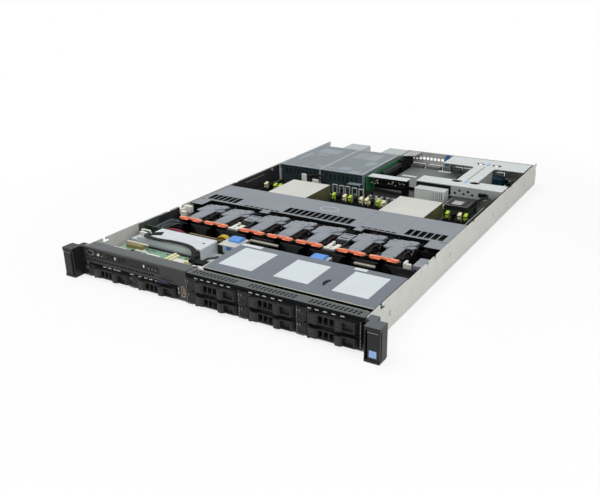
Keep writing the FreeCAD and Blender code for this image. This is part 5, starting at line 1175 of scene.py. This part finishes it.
def mix_shaders(nodes, link, share, first, second, output):
    """Sends one shader or the other to an output, by a share."""
    mix = add_node(nodes, "MixShader")
    link(share, mix.inputs["Fac"])
    link(first, mix.inputs[1])
    link(second, mix.inputs[2])
    link(mix.outputs["Shader"], nodes[output].inputs["Surface"])


def build_floor():
    """A floor that shows a soft shadow near the case and is plain white further off."""
    floor = bpy.data.meshes.new("floor")
    corners = [(x * FLOOR_HALF, y * FLOOR_HALF, 0) for x, y in ((-1, -1), (1, -1), (1, 1), (-1, 1))]
    floor.from_pydata(corners, [], [(0, 1, 2, 3)])
    obj = add_object("floor", floor)
    obj.location.z = FLOOR_LEVEL
    white = bpy.data.materials.new("floor_white")
    white.use_nodes = True
    nodes, link = white.node_tree.nodes, white.node_tree.links.new
    shader = nodes["Principled BSDF"]
    shader.inputs["Base Color"].default_value = (0.9, 0.9, 0.9, 1)
    shader.inputs["Roughness"].default_value = 0.9
    glow = add_node(nodes, "Emission", {"Strength": 1.0})
    place = add_node(nodes, "TexCoord")
    away = add_node(nodes, "VectorMath", operation="LENGTH")
    fade = add_node(nodes, "MapRange", {
        "From Min": SHADOW_REACH[0], "From Max": SHADOW_REACH[1], "To Min": FLOOR_GLOW, "To Max": 1.0,
    })
    share = add_node(nodes, "Math", operation="MULTIPLY")
    link(place.outputs["Object"], away.inputs[0])
    link(away.outputs["Value"], fade.inputs["Value"])
    link(seen_directly(nodes, link), share.inputs[0])
    link(fade.outputs["Result"], share.inputs[1])
    lit, plain = shader.outputs["BSDF"], glow.outputs["Emission"]
    mix_shaders(nodes, link, share.outputs["Value"], lit, plain, "Material Output")
    floor.materials.append(white)


def build_world():
    world = bpy.data.worlds.new("studio")
    bpy.context.scene.world = world
    world.use_nodes = True
    nodes, link = world.node_tree.nodes, world.node_tree.links.new
    soft = nodes["Background"]
    soft.inputs["Color"].default_value = WHITE
    soft.inputs["Strength"].default_value = WORLD_LEVEL
    bright = add_node(nodes, "Background", {"Color": WHITE, "Strength": 1.0})
    lit, plain = soft.outputs["Background"], bright.outputs["Background"]
    mix_shaders(nodes, link, seen_directly(nodes, link), lit, plain, "World Output")


def build_light(name, place, aim, size, power):
    data = bpy.data.lights.new(name, "AREA")
    data.shape = "SQUARE"
    data.size = size
    data.energy = power
    obj = add_object(name, data)
    obj.location = place
    obj.rotation_euler = (Vector(aim) - Vector(place)).to_track_quat("-Z", "Y").to_euler()


# Where the photograph was taken from, found by fitting a camera to the case's edges
CAMERA_PLACE = (0.51037, -0.95505, 0.39473)
CAMERA_AXES = (
    (0.85294, -0.17962, 0.49013),
    (0.52166, 0.32759, -0.78775),
    (-0.01906, 0.92759, 0.37312),
)
CAMERA_LENS = 41.93


def build_camera():
    data = bpy.data.cameras.new("camera")
    data.lens = CAMERA_LENS
    data.sensor_width = 36.0
    data.clip_start = 0.02
    data.clip_end = 50.0
    obj = add_object("camera", data)
    obj.matrix_world = Matrix.Translation(CAMERA_PLACE) @ Matrix(CAMERA_AXES).to_4x4()
    bpy.context.scene.camera = obj


build_floor()
build_world()
build_light("key", (-0.5, -0.3, 2.0), (0, 0, 0), 1.6, 25)
build_light("side", (1.35, -0.75, 0.75), (0.2, -0.3, 0), 1.1, 8.5)
build_light("front", (0.2, -2.0, 0.7), (0, 0, 0), 1.2, 3)
build_camera()
bpy.context.scene.view_settings.view_transform = "Standard"
